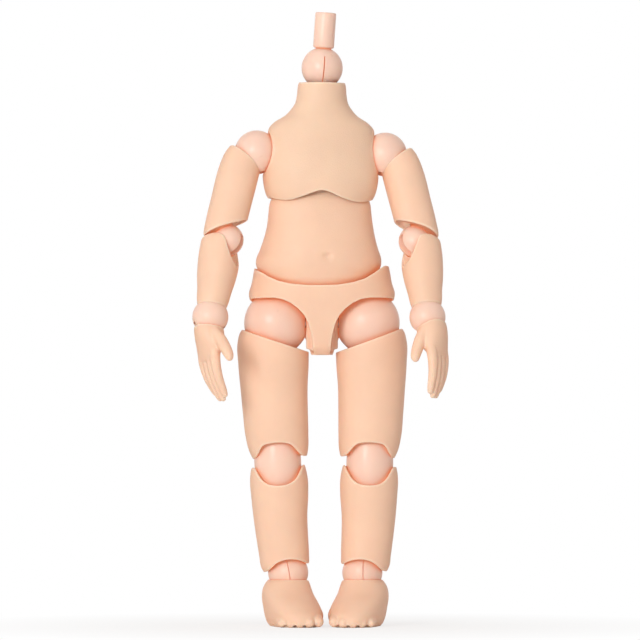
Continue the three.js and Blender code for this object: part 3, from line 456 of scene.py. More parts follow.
waist_line = [
    # the front's top edge, across and over the axle, from the doll's right
    (-12.9, 7.6), (-12.2, 8.6), (-11.6, 9.1), (-11.0, 9.1), (-10.2, 8.65), (-9.0, 7.9), (-7.4, 7.2),
    (-5.4, 6.75), (-2.6, 6.5), (0, 6.45), (2.8, 6.55), (5.4, 6.95), (7.4, 7.6), (9.0, 8.55),
    (10.0, 9.3), (10.7, 9.75), (11.3, 9.75), (11.8, 9.3), (12.9, 7.6),
]
leg_line = [
    # the front's leg opening, outward and over the axle, from the side down to the strip's end
    (13.5, 4.0), (12.6, 4.05), (11.6, 4.2), (9.8, 4.3), (8.2, 4.3), (6.7, 4.05), (5.3, 3.4), (4.0, 2.45),
    (3.0, 1.3), (2.35, 0), (1.85, -1.8), (1.6, -3.4), (1.5, -4.6), (1.2, -6.5),
]
back_waist_line = [(-12.9, 9.7), (-9, 8.8), (-5, 8.4), (0, 8.3), (5, 8.4), (9, 8.8), (12.9, 9.7)]
back_leg_line = [
    # the seat comes lower at the back and rises to the sides
    (13.5, 3.9), (12.4, 3.7), (11.2, 3.0), (9.8, 1.8), (8.2, 0.95), (6.4, 0.35), (4.9, -0.3), (3.8, -1.1),
    (2.9, -2.6), (2.2, -4.2), (1.6, -6.5),
]
pelvis_place = seat("waist_bend", across=axis_of("left_hip_swing"), depth=(0, 1, 0))
hip_places = [Vector(joints[side_name + "_hip_swing"]["pos_m"]) for side_name in ("left", "right")]
pelvis_place.translation = (hip_places[0] + hip_places[1]) / 2


def solid_rings(levels, rows, columns, square, shift=None, top=None):
    """Rings of an oval body up its levels, each end closed by one face. Its middle comes from a
    shift for each height, or from a last column of the levels."""
    sizes = smooth_table(levels)
    angles = np.linspace(0, 2 * math.pi, columns, endpoint=False)
    points = []
    for height in np.linspace(levels[0][0], top or levels[-1][0], rows):
        x, y = ring_point(sizes, angles, np.full(columns, height), square)
        middle = shift(height) if shift else sum(sizes(height)[3:])
        points.append(np.column_stack([x + middle, y, np.full(columns, height)]))
    return np.vstack(points), closed_faces(rows, columns)


def turned_points(profile, columns):
    """A turned form from a profile, given as out from the middle and up."""
    angles = np.linspace(0, 2 * math.pi, columns, endpoint=False)
    c, s = np.cos(angles), np.sin(angles)
    points = [np.column_stack([out * c, out * s, np.full(columns, up)]) for out, up in profile]
    return np.vstack(points), closed_faces(len(profile), columns)


def sphere_points(radius, rows, columns):
    turns = np.linspace(0, math.pi, rows + 1)[1:-1]
    return turned_points([(radius * math.sin(turn), -radius * math.cos(turn)) for turn in turns], columns)


def prism(outline, near, far):
    """A solid from an outline in the XZ plane, from one depth to another."""
    area = sum(a[0] * b[1] - b[0] * a[1] for a, b in zip(outline, list(outline[1:]) + [outline[0]]))
    if area < 0:
        outline = list(reversed(outline))
    count = len(outline)
    faces = [tuple(range(count)), tuple(reversed(range(count, 2 * count)))]
    faces += [(i + count, (i + 1) % count + count, (i + 1) % count, i) for i in range(count)]
    return np.array([(x, y, z) for y in (near, far) for x, z in outline]), faces


def cutter(name, points, faces, place, side=1):
    """A shape that a modifier cuts with. It is never shown."""
    tool = bpy.data.objects.new(name, placed_mesh(name, points, faces, place, side))
    scene.collection.objects.link(tool)
    return tool


def wedge_tool(name, outline, near, far, place, side=1):
    return cutter(name, *prism(outline, near, far), place, side)


def box_tool(name, low, high, place, side=1):
    outline = [(low[0], low[2]), (high[0], low[2]), (high[0], high[2]), (low[0], high[2])]
    return wedge_tool(name, outline, low[1], high[1], place, side)


def ball_tool(name, radius, place, side=1, at=(0, 0, 0), flat=None):
    """A round cutter. A flat ends it towards the doll's middle."""
    points, faces = sphere_points(radius, rows=48, columns=72)
    points = points + np.array(at)
    if flat is not None:
        points[:, 0] = np.maximum(points[:, 0], flat)
    return cutter(name, points, faces, place, side)


def apply_all(piece):
    bpy.context.view_layer.update()
    worked = piece.evaluated_get(bpy.context.evaluated_depsgraph_get())
    mesh = bpy.data.meshes.new_from_object(worked)
    materials = list(piece.data.materials)
    piece.modifiers.clear()
    old = piece.data
    piece.data = mesh
    mesh.name = old.name
    if not mesh.materials:
        for material in materials:
            mesh.materials.append(material)


def cut_away(piece, tools):
    """Cuts each tool from a piece for good, then removes the tools."""
    for tool in tools:
        trim = piece.modifiers.new("trim", "BOOLEAN")
        trim.operation = "DIFFERENCE"
        trim.solver = "EXACT"
        trim.object = tool
    apply_all(piece)
    for tool in tools:
        bpy.data.objects.remove(tool)
    piece.data.set_sharp_from_angle(angle=math.radians(40))


def soften(piece, passes, factor):
    smoother = piece.modifiers.new("soften", "SMOOTH")
    smoother.iterations = passes
    smoother.factor = factor
    apply_all(piece)


def even_skin(piece, voxel):
    """One closed skin round overlapping shapes, in even steps of a size in millimetres."""
    joiner = piece.modifiers.new("join", "REMESH")
    joiner.mode = "VOXEL"
    joiner.voxel_size = voxel / 1000
    apply_all(piece)


def moulded(piece, cutters, voxel, passes):
    """Joins the overlapping shapes of a piece, cuts it, and softens every edge."""
    even_skin(piece, voxel)
    soften(piece, 4, 0.5)
    if cutters:
        cut_away(piece, cutters)
        even_skin(piece, voxel)
    soften(piece, passes, 0.5)
    piece.data.shade_smooth()


front_cover = add_piece(
    "hip_cover_front",
    *solid_rings(cover_levels, 110, 200, square=2.4, top=10.6),
    pelvis_place, shell_plastic, "pelvis", replaced=["pelvis_front"],
)
# the belly's lower dome, which turns in the covers with room all round
dome_levels = [
    # height over the waist pin, then half width, front and back
    (-4.3, 2.2, 2.9, 2.3), (-4.0, 3.9, 3.9, 3.1), (-3.3, 6.6, 5.4, 4.45), (-2.1, 8.85, 6.25, 5.3),
    (-0.8, 10.1, 6.55, 5.72), (0.5, 10.75, 6.74, 5.9), (1.5, 10.75, 6.78, 5.78),
]
belly_square = 2.2
lean_out, lean_top, lean_reach = 0.25, 7, 6
belly_place = seat("waist_bend", across=axis_of("waist_bend"), up=axis_of("waist_turn"))


def dome_lean(height):
    """The belly's lower end sits a little to the doll's right of its upper part."""
    return -lean_out * float(np.clip((lean_top - height) / lean_reach, 0, 1))


room_under, room_beside, room_ahead = 0.45, 0.28, 0.35
room_levels = [
    (z - room_under, x + room_beside, front + room_ahead, back + room_ahead)
    for z, x, front, back in dome_levels
]
room_levels.append((8, 11, 7.1, 6.2))
# the block inside that holds the axle fills the space between the two balls
block_half, block_end, block_front = 2.72, -4.4, -1.7
over_all = [(waist_line[-1][0], past_side), (waist_line[0][0], past_side)]
cover_cutters = [
    cutter("belly_room", *solid_rings(room_levels, 70, 140, belly_square, dome_lean), belly_place),
    wedge_tool("over_front", waist_line + over_all, -beyond, 0, pelvis_place),
    wedge_tool("over_back", back_waist_line + over_all, 0, beyond, pelvis_place),
]
block_line = leg_line[:9] + [(block_half, 0), (block_half, block_end), (1.2, block_end - 0.5)]
openings = ((leg_line, -beyond, block_front), (block_line, block_front, 0), (back_leg_line, 0, beyond))
hip_room, hip_place = hip_radius + 0.32, (hip_half, 0, 0)
for side in (1, -1):
    for opening, near, far in openings:
        under = opening + [
            (opening[-1][0], past_bottom), (past_side, past_bottom), (past_side, opening[0][1])
        ]
        cover_cutters.append(wedge_tool("leg_opening", under, near, far, pelvis_place, side))
    cover_cutters.append(ball_tool("hip_room", hip_room, pelvis_place, side, hip_place, block_half))
moulded(front_cover, cover_cutters, voxel=0.13, passes=4)
back_cover = bpy.data.objects.new("hip_cover_back", front_cover.data.copy())
scene.collection.objects.link(back_cover)
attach(back_cover, "pelvis")
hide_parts("pelvis_back")
cover_seam = 0.06  # each half ends this far from the middle, so a line shows between them
for cover, near, far in ((front_cover, -cover_seam, beyond), (back_cover, -beyond, cover_seam)):
    other_half = box_tool("other_half", (-beyond, near, -beyond), (beyond, far, beyond), pelvis_place)
    cut_away(cover, [other_half])

# Belly: one solid moulding, domed at the top under the chest and at the bottom in the hip covers,
# with a small round dimple for the navel. It turns and bends on the post inside.
belly_levels = dome_levels + [
    (3.3, 10.12, 6.62, 5.38), (5.4, 9.5, 6.25, 5.02), (7.5, 9.07, 5.94, 4.9), (9.4, 8.85, 5.68, 4.9),
    (11.1, 8.62, 5.47, 4.78), (12.0, 8.22, 5.25, 4.2), (12.9, 7.1, 4.8, 3.5), (13.7, 6.2, 4.4, 3.0),
    (14.2, 4.9, 3.6, 2.4),
]
navel = (0.55, 1.95)
navel_radius, navel_depth = 0.55, 0.5
belly_points, belly_faces = solid_rings(belly_levels, 110, 180, belly_square, dome_lean)
from_navel = np.hypot(belly_points[:, 0] - navel[0], belly_points[:, 2] - navel[1]) / navel_radius
belly_points[:, 1] += navel_depth * np.exp(-(from_navel**2)) * (belly_points[:, 1] < 0)
add_piece("belly", belly_points, belly_faces, belly_place, shell_plastic, "belly", replaced=["abdomen"])


# Chest: a front and a back shell that close round the neck and shoulder stems, with round sockets
# for the shoulder balls and a lower edge that dips to both sides of the middle.
chest_top = 23.6
chest_levels = [
    # height over the spine ball, then half width, front and back
    (2.0, 8.3, 6.1, 5.0), (3.2, 8.75, 6.2, 5.15), (4.2, 9.3, 6.5, 5.4), (5.2, 9.62, 6.66, 5.5),
    (6.4, 9.85, 6.72, 5.6), (8.7, 9.92, 6.6, 5.68), (12.0, 9.62, 6.05, 5.7), (14.8, 9.18, 5.4, 5.5),
    (15.7, 8.95, 5.2, 5.35), (16.8, 7.9, 4.95, 5.0), (17.8, 6.3, 4.7, 4.68), (18.9, 5.25, 4.35, 4.4),
    (19.9, 4.6, 4.15, 4.2), (21.3, 4.27, 4.05, 4.08), (23.1, 4.08, 3.98, 4.0),
    (chest_top, 3.95, 3.95, 3.95),
]
chest_sizes = smooth_table(chest_levels)
chest_edge = [
    # the front's lower edge, across and up, from the doll's right
    (-10.2, 4.4), (-9.3, 3.85), (-8.2, 3.45), (-6.8, 3.25), (-5.4, 3.35), (-3.7, 3.9), (-2.1, 4.55),
    (-0.9, 4.95), (-0.3, 5.02), (0.5, 4.9), (1.6, 4.5), (3.3, 3.75), (5.0, 3.25), (6.6, 3.1), (8.0, 3.25),
    (9.2, 3.6), (10.2, 4.1),
]
chest_back_edge = 3.5
chest_square, chest_rounding = 2.25, 0.25  # it gets rounder towards the neck
shoulder_half, shoulder_rise = 11.07, 11.45
shoulder_socket = 3.98
socket_softness = 0.35


def pressed_round(points, centre, radius, softness):
    """Pushes a skin out of a ball's room, as a moulded socket, with a soft edge."""
    away = points - np.array(centre)
    distance = np.linalg.norm(away, axis=1)
    gap = np.clip((softness - (distance - radius)) / (2 * softness), 0, 1)
    inside = np.where(distance < radius - softness, radius, distance + softness * gap**2)
    wanted = np.where(distance > radius + softness, distance, inside)
    return np.array(centre) + away * (wanted / np.maximum(distance, 0.001))[:, None]


def chest_half(front, rows, columns, seam):
    angles = np.linspace(0, math.pi, columns) * (-1 if front else 1)
    low = np.full(columns, chest_back_edge)
    if front:
        # the edge is given over the width, and the width depends on the height
        for _ in range(12):
            x, _y = ring_point(chest_sizes, angles, low, chest_square)
            low = np.interp(x, edge_line[:, 0], edge_line[:, 1])
    points = []
    for t in np.linspace(0, 1, rows):
        height = low * (1 - t) + chest_top * t
        x, y = ring_point(chest_sizes, angles, height, chest_square - chest_rounding * t**4)
        points.append(np.column_stack([x, y + (-seam if front else seam), height]))
    skin = np.vstack(points)
    for side in (1, -1):
        socket = (side * shoulder_half, 0, shoulder_rise)
        skin = pressed_round(skin, socket, shoulder_socket, socket_softness)
    return skin.reshape(rows, columns, 3)


edge_line = smooth_line(chest_edge, 200)
chest_place = seat("chest_turn", across=axis_of("left_shoulder_swing"), up=axis_of("chest_turn"))
chest_seam, chest_wall, chest_rim = 0.05, 0.42, 0.2
for half_name, is_front in (("chest_front", True), ("chest_back", False)):
    chest_skin = chest_half(is_front, 120, 150, chest_seam)
    chest_piece = add_piece(
        half_name + "_shell",
        *shell_solid(chest_skin, chest_wall, chest_rim, -1 if is_front else 1),
        chest_place, shell_plastic, "chest", replaced=[half_name],
    )
    chest_piece.data.set_sharp_from_angle(angle=math.radians(60))


# Neck: a ball with a narrow slit at the front, where its tab nods, and the peg that a head
# pushes onto, with a small step where it seats. Both are the glossier joint plastic.
neck_place = seat("neck_nod", across=axis_of("neck_nod"), up=axis_of("neck_turn"))
neck_radius = 3.54
neck_ball = add_piece(
    "neck_ball_piece", *sphere_points(neck_radius, 64, 96),
    neck_place, joint_plastic, "neck_ball", slot="joint", replaced=["neck_ball", "neck_pin"],
)
slit_place = neck_place @ Matrix.Rotation(math.radians(4), 4, "Y")
cut_away(neck_ball, [box_tool("slit", (-0.09, -4, -2.9), (0.09, -2.3, 1.9), slit_place)])

peg_mount = next(mount for mount in frame["record"]["mounts"] if mount["name"] == "head_peg_top")
peg_up = Vector(peg_mount["axis"])
peg_place = seat("neck_lean", depth=axis_of("neck_lean"), up=peg_up)
peg_profile = [
    # out from the middle, then up from the ball's centre
    (1.3, 3.3), (1.4, 3.42), (1.66, 3.46), (1.76, 3.56), (1.8, 3.8), (1.8, 5.2), (1.8, 9.2), (1.76, 9.4),
    (1.6, 9.5),
]
peg = add_piece(
    "neck_peg_piece", *turned_points(peg_profile, 64), peg_place, joint_plastic, "neck_peg", slot="joint"
)
peg.data.set_sharp_from_angle(angle=math.radians(60))


# Shoulders: a ball on each side that turns in the chest, with a slot for the tab of the upper arm
# and a pin across it. Glossier joint plastic.
sides = (("left", 1), ("right", -1))


def limb_seat(name, side, at, across=None, depth=None, up=None):
    """A seat on one side's limb, by the names of its joints. A minus turns a joint's axis round."""

    def direction(joint, sign):
        if joint is None:
            return None
        return axis_of(f"{name}_{joint.strip('-')}", -sign if joint[0] == "-" else sign)

    return seat(f"{name}_{at}", direction(across, 1), direction(depth, side), direction(up, side))


def cylinder_tool(name, radius, start, end, place):
    """A round cutter between two points in millimetres. It is never shown."""
    along = Vector(end) - Vector(start)
    turn = along.to_track_quat("Z", "Y").to_matrix().to_4x4()
    mesh = bpy.data.meshes.new(name)
    cone = bmesh.new()
    bmesh.ops.create_cone(
        cone, cap_ends=True, segments=48, radius1=radius, radius2=radius, depth=along.length
    )
    cone.to_mesh(mesh)
    cone.free()
    mesh.transform(place @ Matrix.Translation((Vector(start) + Vector(end)) / 2) @ turn)
    tool = bpy.data.objects.new(name, mesh)
    scene.collection.objects.link(tool)
    return tool


def slotted_ball(limb, side, place, radius, slot_half, slot_angles, slot_side, pin):
    """A ball with the slot that its tab swings in and the open end of its pin hole at the back."""
    points, faces = sphere_points(radius, 72, 112)
    made_ball = add_piece(limb, points, faces, place, joint_plastic, limb + "_ball", side, "joint")
    reach = radius + 0.5
    low, high = (math.radians(angle) for angle in slot_angles)
    first = (-slot_side * math.cos(low), -slot_side * math.sin(low))
    last = (slot_side * math.cos(high), slot_side * math.sin(high))
    outline = [first, (first[0] + reach * math.sin(low), first[1] - reach * math.cos(low))]
    outline += [
        (reach * math.sin(angle), -reach * math.cos(angle)) for angle in np.linspace(low, high, 14)
    ]
    outline += [(last[0] + reach * math.sin(high), last[1] - reach * math.cos(high)), last]
    slot = wedge_tool("slot", outline, -slot_half, slot_half, place, side)
    pin_hole = cylinder_tool("pin_hole", pin, (0, radius * 0.5, 0), (0, reach, 0), place)
    cut_away(made_ball, [slot, pin_hole])
    return made_ball


for name, side in sides:
    ball_place = limb_seat(name, side, "shoulder_raise", across="shoulder_swing", depth="-shoulder_raise")
    slotted_ball(
        name + "_shoulder", side, ball_place,
        radius=3.76, slot_half=0.9, slot_angles=(-8, 95), slot_side=0.8, pin=0.52,
    )


# Upper arms and forearms: thin sleeves with a round hollow at each end for the balls, cut on a
# slant at the shoulder and on both sides of the elbow, with a small rounded rim.
sleeve_square = 2.15
sleeve_rim = 0.2
least_wall = 2.2 * sleeve_rim
pocket_rows = 16


def limb_sleeve(levels, top_edge, low_edge, top_pocket, low_pocket, rows, columns):
    """A closed sleeve between two edges, given as heights over (x, y), with a pocket at each end."""
    sizes = smooth_table(levels)
    angles = np.linspace(0, 2 * math.pi, columns, endpoint=False)
    c, s = np.cos(angles), np.sin(angles)
    boxy_c = np.sign(c) * np.abs(c) ** (2 / sleeve_square)
    boxy_s = np.sign(s) * np.abs(s) ** (2 / sleeve_square)

    def outside(height, inward=0.0):
        wide, deep, middle = sizes(height)
        x, y = wide * boxy_c, deep * boxy_s
        keep = 1 - inward / np.hypot(x, y)
        return np.column_stack([middle + x * keep, y * keep, height])

    def heights(edge, start):
        height = np.full(columns, float(start))
        for _ in range(20):
            at = outside(height)
            height = edge(at[:, 0], at[:, 1])
        return height

    def pocket_rings(rim_ring, pocket, pole):
        radius, centre, ways, arch = pocket
        centre = np.array(centre, float)
        start = rim_ring - centre
        azimuth = np.arctan2(start[:, 1], start[:, 0])

        def reach_at(polar):
            direction = np.column_stack(
                [np.sin(polar) * np.cos(azimuth), np.sin(polar) * np.sin(azimuth), pole * np.cos(polar)]
            )
            reach = np.zeros(columns)
            for way in ways:
                toward = direction @ np.array(way, float)
                inner = radius**2 - float(np.dot(way, way)) + toward**2
                reach = np.maximum(reach, toward + np.sqrt(np.maximum(inner, 0)))
            return direction * reach[:, None]

        # each column enters the pocket level with the rim, or straight back through an arch
        trials = np.linspace(0, math.pi, 91)
        levels = np.array([reach_at(np.full(columns, polar))[:, 2] for polar in trials])
        above = levels * pole >= start[:, 2] * pole
        above[-1] = False
        first = trials[np.argmin(above, axis=0)]
        through = (np.abs(start[:, 0]) < arch) & (start[:, 1] < 0)
        depth = np.sqrt(np.maximum(radius**2 - start[:, 0] ** 2 - start[:, 2] ** 2, 0.04))
        azimuth = np.where(through, np.arctan2(-depth, start[:, 0]), azimuth)
        out = np.hypot(depth, start[:, 0])
        first = np.where(through, np.arctan2(out, pole * start[:, 2]), first)
        rings = []
        for k in range(pocket_rows):
            ring = centre + reach_at(first * (1 - k / pocket_rows))
            wide, deep, middle = sizes(ring[:, 2])
            off = ring[:, 0] - middle
            out = (np.abs(off) / wide) ** sleeve_square + (np.abs(ring[:, 1]) / deep) ** sleeve_square
            out = out ** (1 / sleeve_square)
            # a thin wall is left where the pocket would come through the outside
            inside = 1 - least_wall / np.minimum(wide, deep)
            keep = np.minimum(1, inside / np.maximum(out, 0.001))
            ring[:, 0] = middle + off * keep
            ring[:, 1] *= keep
            rings.append(ring)
        return rings

    def rolled_rim(edge, way):
        return [
            outside(edge + way * sleeve_rim * (1 - math.sin(turn)), sleeve_rim * (1 - math.cos(turn)))
            for turn in np.linspace(0, math.pi, 9)
        ]

    top, low = heights(top_edge, 0), heights(low_edge, -15)
    low_rim, top_rim = rolled_rim(low, 1), rolled_rim(top, -1)
    shares = np.linspace(0, 1, rows)[1:-1]
    walls = [outside((low + sleeve_rim) * (1 - t) + (top - sleeve_rim) * t) for t in shares]
    rings = list(reversed(pocket_rings(low_rim[-1], low_pocket, 1)))
    rings += list(reversed(low_rim)) + walls + top_rim
    rings += pocket_rings(top_rim[-1], top_pocket, -1)
    return np.vstack(rings), closed_faces(len(rings), columns)


def room_for(radius, centre=(0, 0, 0), ways=((0, 0, 0),), arch=0):
    """A pocket for a ball: its size and centre, the places that the ball moves to from there, and
    the half width of an arch in front of it."""
    return radius, centre, ways, arch


def add_sleeve(limb, side, place, levels, edges, pockets, rows=44, columns=120, tab=()):
    points, faces = joined(limb_sleeve(levels, *edges, *pockets, rows, columns), *tab)
    return add_piece(limb + "_sleeve", points, faces, place, shell_plastic, limb, side)


def joined(*meshes):
    """Several point and face lists as one."""
    points, faces, start = [], [], 0
    for some_points, some_faces in meshes:
        points.append(some_points)
        faces += [tuple(index + start for index in face) for face in some_faces]
        start += len(some_points)
    return np.vstack(points), faces


def softer(a, b, way, soft=0.25):
    """The lower (way 1) or higher (way -1) of two edges, with a rounded corner between them."""
    mix = np.clip(0.5 + 0.5 * way * (b - a) / soft, 0, 1)
    return b * (1 - mix) + a * mix - way * soft * mix * (1 - mix)


upper_arm_levels = [
    # height over the shoulder, then half width, half depth and middle outwards
    (0.9, 2.3, 2.6, 1.75), (0.0, 2.75, 3.05, 1.85), (-1.3, 3.2, 3.4, 1.98), (-2.8, 3.42, 3.52, 2.08),
    (-4.6, 3.52, 3.56, 2.15), (-9.6, 3.5, 3.55, 2.15), (-14.1, 3.43, 3.48, 2.15),
    (-16.2, 3.25, 3.3, 2.15), (-16.9, 3.0, 3.05, 2.15),
]
# each cut passes a point, across and up, with a slope
shoulder_cut = (4.7, -0.1, math.tan(math.radians(24.6)))
elbow_cut = (5.5, -16.6, -math.tan(math.radians(33)))
arm_top, arm_low = 0.7, -16.8
elbow_drop, elbow_reach = 0.1, 3.2
elbow_place = (1.15, 0, -16.3)


def slant(x, cut_line):
    out, up, slope = cut_line
    return up + slope * (x - out)


def follows(line):
    return lambda x, y: np.interp(x, line[:, 0], line[:, 1])


def upper_arm_top(x, y):
    return softer(slant(x, shoulder_cut), np.full_like(x, arm_top), 1, 0.5)


def upper_arm_end(x, y):
    # the front of the rim comes lower on the inner side, over the ball
    over_ball = elbow_drop * y * np.clip(1 - x / elbow_reach, 0, 1)
    return softer(slant(x, elbow_cut) + over_ball, np.full_like(x, arm_low), -1)


shoulder_room, elbow_room = 3.96, 2.94
for name, side in sides:
    arm_place = limb_seat(name, side, "arm_turn", depth="-shoulder_raise", up="arm_turn")
    add_sleeve(
        name + "_upper_arm", side, arm_place, upper_arm_levels, (upper_arm_top, upper_arm_end),
        (room_for(shoulder_room), room_for(elbow_room, elbow_place)),
    )

for name, side in sides:
    slotted_ball(
        name + "_elbow", side, limb_seat(name, side, "elbow_bend", depth="elbow_bend", up="elbow_turn"),
        radius=2.74, slot_half=0.75, slot_angles=(-100, 8), slot_side=0.85, pin=0.47,
    )

forearm_low = -12.0
forearm_levels = [
    # height over the elbow, then half width, half depth and middle outwards
    (0.9, 2.9, 2.94, 1.15), (-0.13, 3.24, 3.29, 1.15), (-1.94, 3.42, 3.47, 1.15), (-4.9, 3.45, 3.5, 1.1),
    (-7.1, 3.24, 3.29, 1.13), (-9.16, 2.9, 2.94, 1.18), (-10.97, 2.68, 2.72, 1.24),
    (forearm_low, 2.45, 2.5, 1.27),
]
forearm_edge = [
    # across and up, from the long scoop on the inner side to the outer rim
    (-3.6, -7.1), (-2.2, -4.3), (-1.37, -2.3), (-0.55, -0.25), (0.3, 0.3), (1.3, 0.35), (2.47, 0.15),
    (4.27, -0.36), (6.0, -0.8),
]
forearm_top = follows(smooth_line(forearm_edge, 160))
wrist_place, wrist_room = (1.27, 0, -13.85), 3.28


def forearm_end(x, y):
    return np.full_like(x, forearm_low)


def tab_points(disc, stalk, half, end, count=40):
    """The flat tab that turns on a ball's pin: a round eye with a stalk down to its sleeve."""
    turn = math.asin(stalk / disc)
    arc = np.linspace(-math.pi / 2 + turn, 1.5 * math.pi - turn, count)
    outline = [(disc * math.cos(a), disc * math.sin(a)) for a in arc] + [(-stalk, -end), (stalk, -end)]
    return prism(outline, -half, half)


for name, side in sides:
    forearm = add_sleeve(
        name + "_forearm", side, limb_seat(name, side, "elbow_bend", depth="elbow_bend", up="wrist_turn"),
        forearm_levels, (forearm_top, forearm_end),
        (room_for(elbow_room), room_for(wrist_room, wrist_place)),
        tab=[tab_points(disc=1.05, stalk=0.65, half=0.55, end=4.2)],
    )
    forearm.data.set_sharp_from_angle(angle=math.radians(50))

for name, side in sides:
    slotted_ball(
        name + "_wrist", side, limb_seat(name, side, "wrist_turn", depth="wrist_bend", up="wrist_turn"),
        radius=3.08, slot_half=0.8, slot_angles=(-45, 45), slot_side=0.9, pin=0.47,
    )


# Hips: a ball on each end of the axle, flat on the inside, with a slot under it for the tab of the
# thigh and the open end of its pin hole at the back.
hip_flat = 4.9
for name, side in sides:
    ball_place = limb_seat(name, side, "hip_swing", across="hip_swing", depth="hip_spread")
    hip_ball = slotted_ball(
        name + "_hip", side, ball_place,
        radius=hip_radius, slot_half=1.15, slot_angles=(-6, 46), slot_side=1.3, pin=0.72,
    )
    cut_away(hip_ball, [box_tool("flat", (-8, -8, -8), (-hip_flat, 8, 8), ball_place, side)])


# Thighs and shins: sleeves like those of the arms. At the knee each ends in an arch in front and
# is cut back behind, so that the round knee block shows and both can fold.
thigh_high = -0.4
thigh_levels = [
    # height under the hip, then half width, half depth and middle outwards
    (thigh_high, 5.25, 5.2, 0.4), (-1.45, 5.78, 5.73, 0.55), (-2.97, 6.05, 6.0, 0.72),
    (-6.95, 6.04, 5.98, 0.8), (-11.16, 5.75, 5.7, 0.9), (-15.6, 5.56, 5.4, 0.87), (-19.1, 5.4, 5.22, 0.8),
    (-21.9, 5.02, 4.86, 0.6), (-23.2, 4.6, 4.55, 0.47), (-23.8, 4.42, 4.38, 0.42),
]
thigh_cut = (5.6, -1.05, math.tan(math.radians(20.7)))
knee_out, knee_arch, knee_room = 0.88, 4.1, 4.2
knee_pin = 2.3  # the height of each knee pin from the block's middle
knee_back = (1.15, math.tan(math.radians(52)))
knee_swings = [
    (0, knee_pin * math.sin(a), knee_pin * (1 - math.cos(a))) for a in np.radians([0, 13, 26, 39, 52])
]
thigh_knee = (knee_out, 0, -23.9)
# both arches, across and over the knee's centre, from the inner side to the outer
thigh_arch = [
    (-5.4, 0.95), (-4.5, 1.0), (-3.65, 1.8), (-2.85, 2.75), (-2.1, 3.2), (-1.1, 3.4), (0, 3.45),
    (1.1, 3.38), (2.2, 3.15), (2.85, 2.65), (3.4, 1.7), (4.2, 0.8), (5.4, 0.75),
]
shin_arch = [
    (-5.6, -0.5), (-4.6, -0.55), (-4.1, -1.35), (-3.2, -2.7), (-1.9, -3.6), (-0.1, -3.88), (1.8, -3.58),
    (2.95, -2.75), (3.7, -1.6), (4.2, -0.8), (5.4, -0.6),
]
thigh_knee_line, shin_knee_line = smooth_line(thigh_arch, 160), smooth_line(shin_arch, 160)


def behind_knee(y):
    return (y - knee_back[0]) * knee_back[1]


def thigh_top(x, y):
    return softer(slant(x, thigh_cut), np.full_like(x, thigh_high), 1)


def knee_edge(x, y, line, side_height):
    """The edge of a sleeve at the knee: an arch in front, then a slant that leaves room to fold."""
    front = np.abs(np.interp(x - knee_out, line[:, 0], line[:, 1]))
    return softer(np.where(y < 0, front, side_height), behind_knee(y), -1, 0.8)


def thigh_end(x, y):
    return thigh_knee[2] + knee_edge(x, y, thigh_knee_line, 0.9)


leg_rows, leg_columns = 56, 144
thigh_room = 5.7
for name, side in sides:
    leg_place = limb_seat(name, side, "hip_spread", depth="hip_spread", up="-thigh_turn")
    add_sleeve(
        name + "_thigh", side, leg_place, thigh_levels, (thigh_top, thigh_end),
        (room_for(thigh_room), room_for(knee_room, thigh_knee, knee_swings, knee_arch)),
        leg_rows, leg_columns,
    )

# the block is a ball, filled out in front where the two arches show it
knee_radius, knee_full, knee_hidden = 4.0, (4.03, 8), 0.1
knee_pin_hole, knee_end = 0.67, 4.5
knee_opening = [(x, z + knee_hidden) for x, z in thigh_knee_line if abs(x) < 4.3]
knee_opening += [(x, z - knee_hidden) for x, z in reversed(shin_knee_line.tolist()) if abs(x) < 4.3]
for name, side in sides:
    knee_place = limb_seat(name, side, "knee_upper_bend", across="knee_upper_bend", up="-thigh_turn")
    pins = [Vector(joints[f"{name}_knee_{end}_bend"]["pos_m"]) for end in ("upper", "lower")]
    knee_place.translation = (pins[0] + pins[1]) / 2
    knee_points, knee_faces = sphere_points(knee_full[0], 80, 128)
    knee_piece = add_piece(
        name + "_knee", knee_points * np.array([1, 1, knee_full[1] / knee_full[0]]), knee_faces,
        knee_place, joint_plastic, name + "_knee_block", side, "joint",
    )
    # what is outside the ball comes off, except in front, where the arches show it
    knee_trim = box_tool("knee_trim", (-5, -5, -9), (5, 5, 9), knee_place)
    knee_front = wedge_tool("knee_front", knee_opening, -6, -0.1, knee_place, side)
    cut_away(knee_trim, [knee_front, ball_tool("knee_ball", knee_radius, knee_place)])
    knee_cutters = [knee_trim]
    for z in (knee_pin, -knee_pin):
        knee_cutters.append(
            cylinder_tool("pin_hole", knee_pin_hole, (-knee_end, 0, z), (knee_end, 0, z), knee_place)
        )
    moulded(knee_piece, knee_cutters, voxel=0.12, passes=3)

shin_levels = [
    # height over the ankle, then half width, half depth and middle outwards
    (18.9, 4.3, 4.3, 0.85), (18.3, 4.55, 4.55, 0.85), (17.42, 4.77, 4.77, 0.85),
    (15.94, 4.96, 4.96, 0.83), (13.35, 4.9, 4.9, 0.81), (9.65, 4.62, 4.62, 0.87),
    (5.95, 4.43, 4.43, 0.72), (2.99, 4.27, 4.27, 0.55), (1.14, 4.08, 4.08, 0.51),
    (0.4, 3.75, 3.75, 0.51),
]
shin_knee = (knee_out, 0, 18.9)
shin_swings = [(x, y, -z) for x, y, z in knee_swings]
ankle_room, ankle_arch = 3.64, 3.4
ankle_edge = [
    # the lower edge of the shin over the ankle's centre: it comes lower on the outer side
    (-5.0, 1.15), (-4.1, 1.25), (-3.3, 1.5), (-2.5, 1.9), (-1.2, 2.25), (0.3, 2.25), (1.8, 1.8),
    (2.9, 1.0), (3.7, 0.4), (5.0, 0.2),
]
shin_end = follows(smooth_line(ankle_edge, 120))


def shin_top(x, y):
    return shin_knee[2] - knee_edge(x, y, shin_knee_line, 0.7)


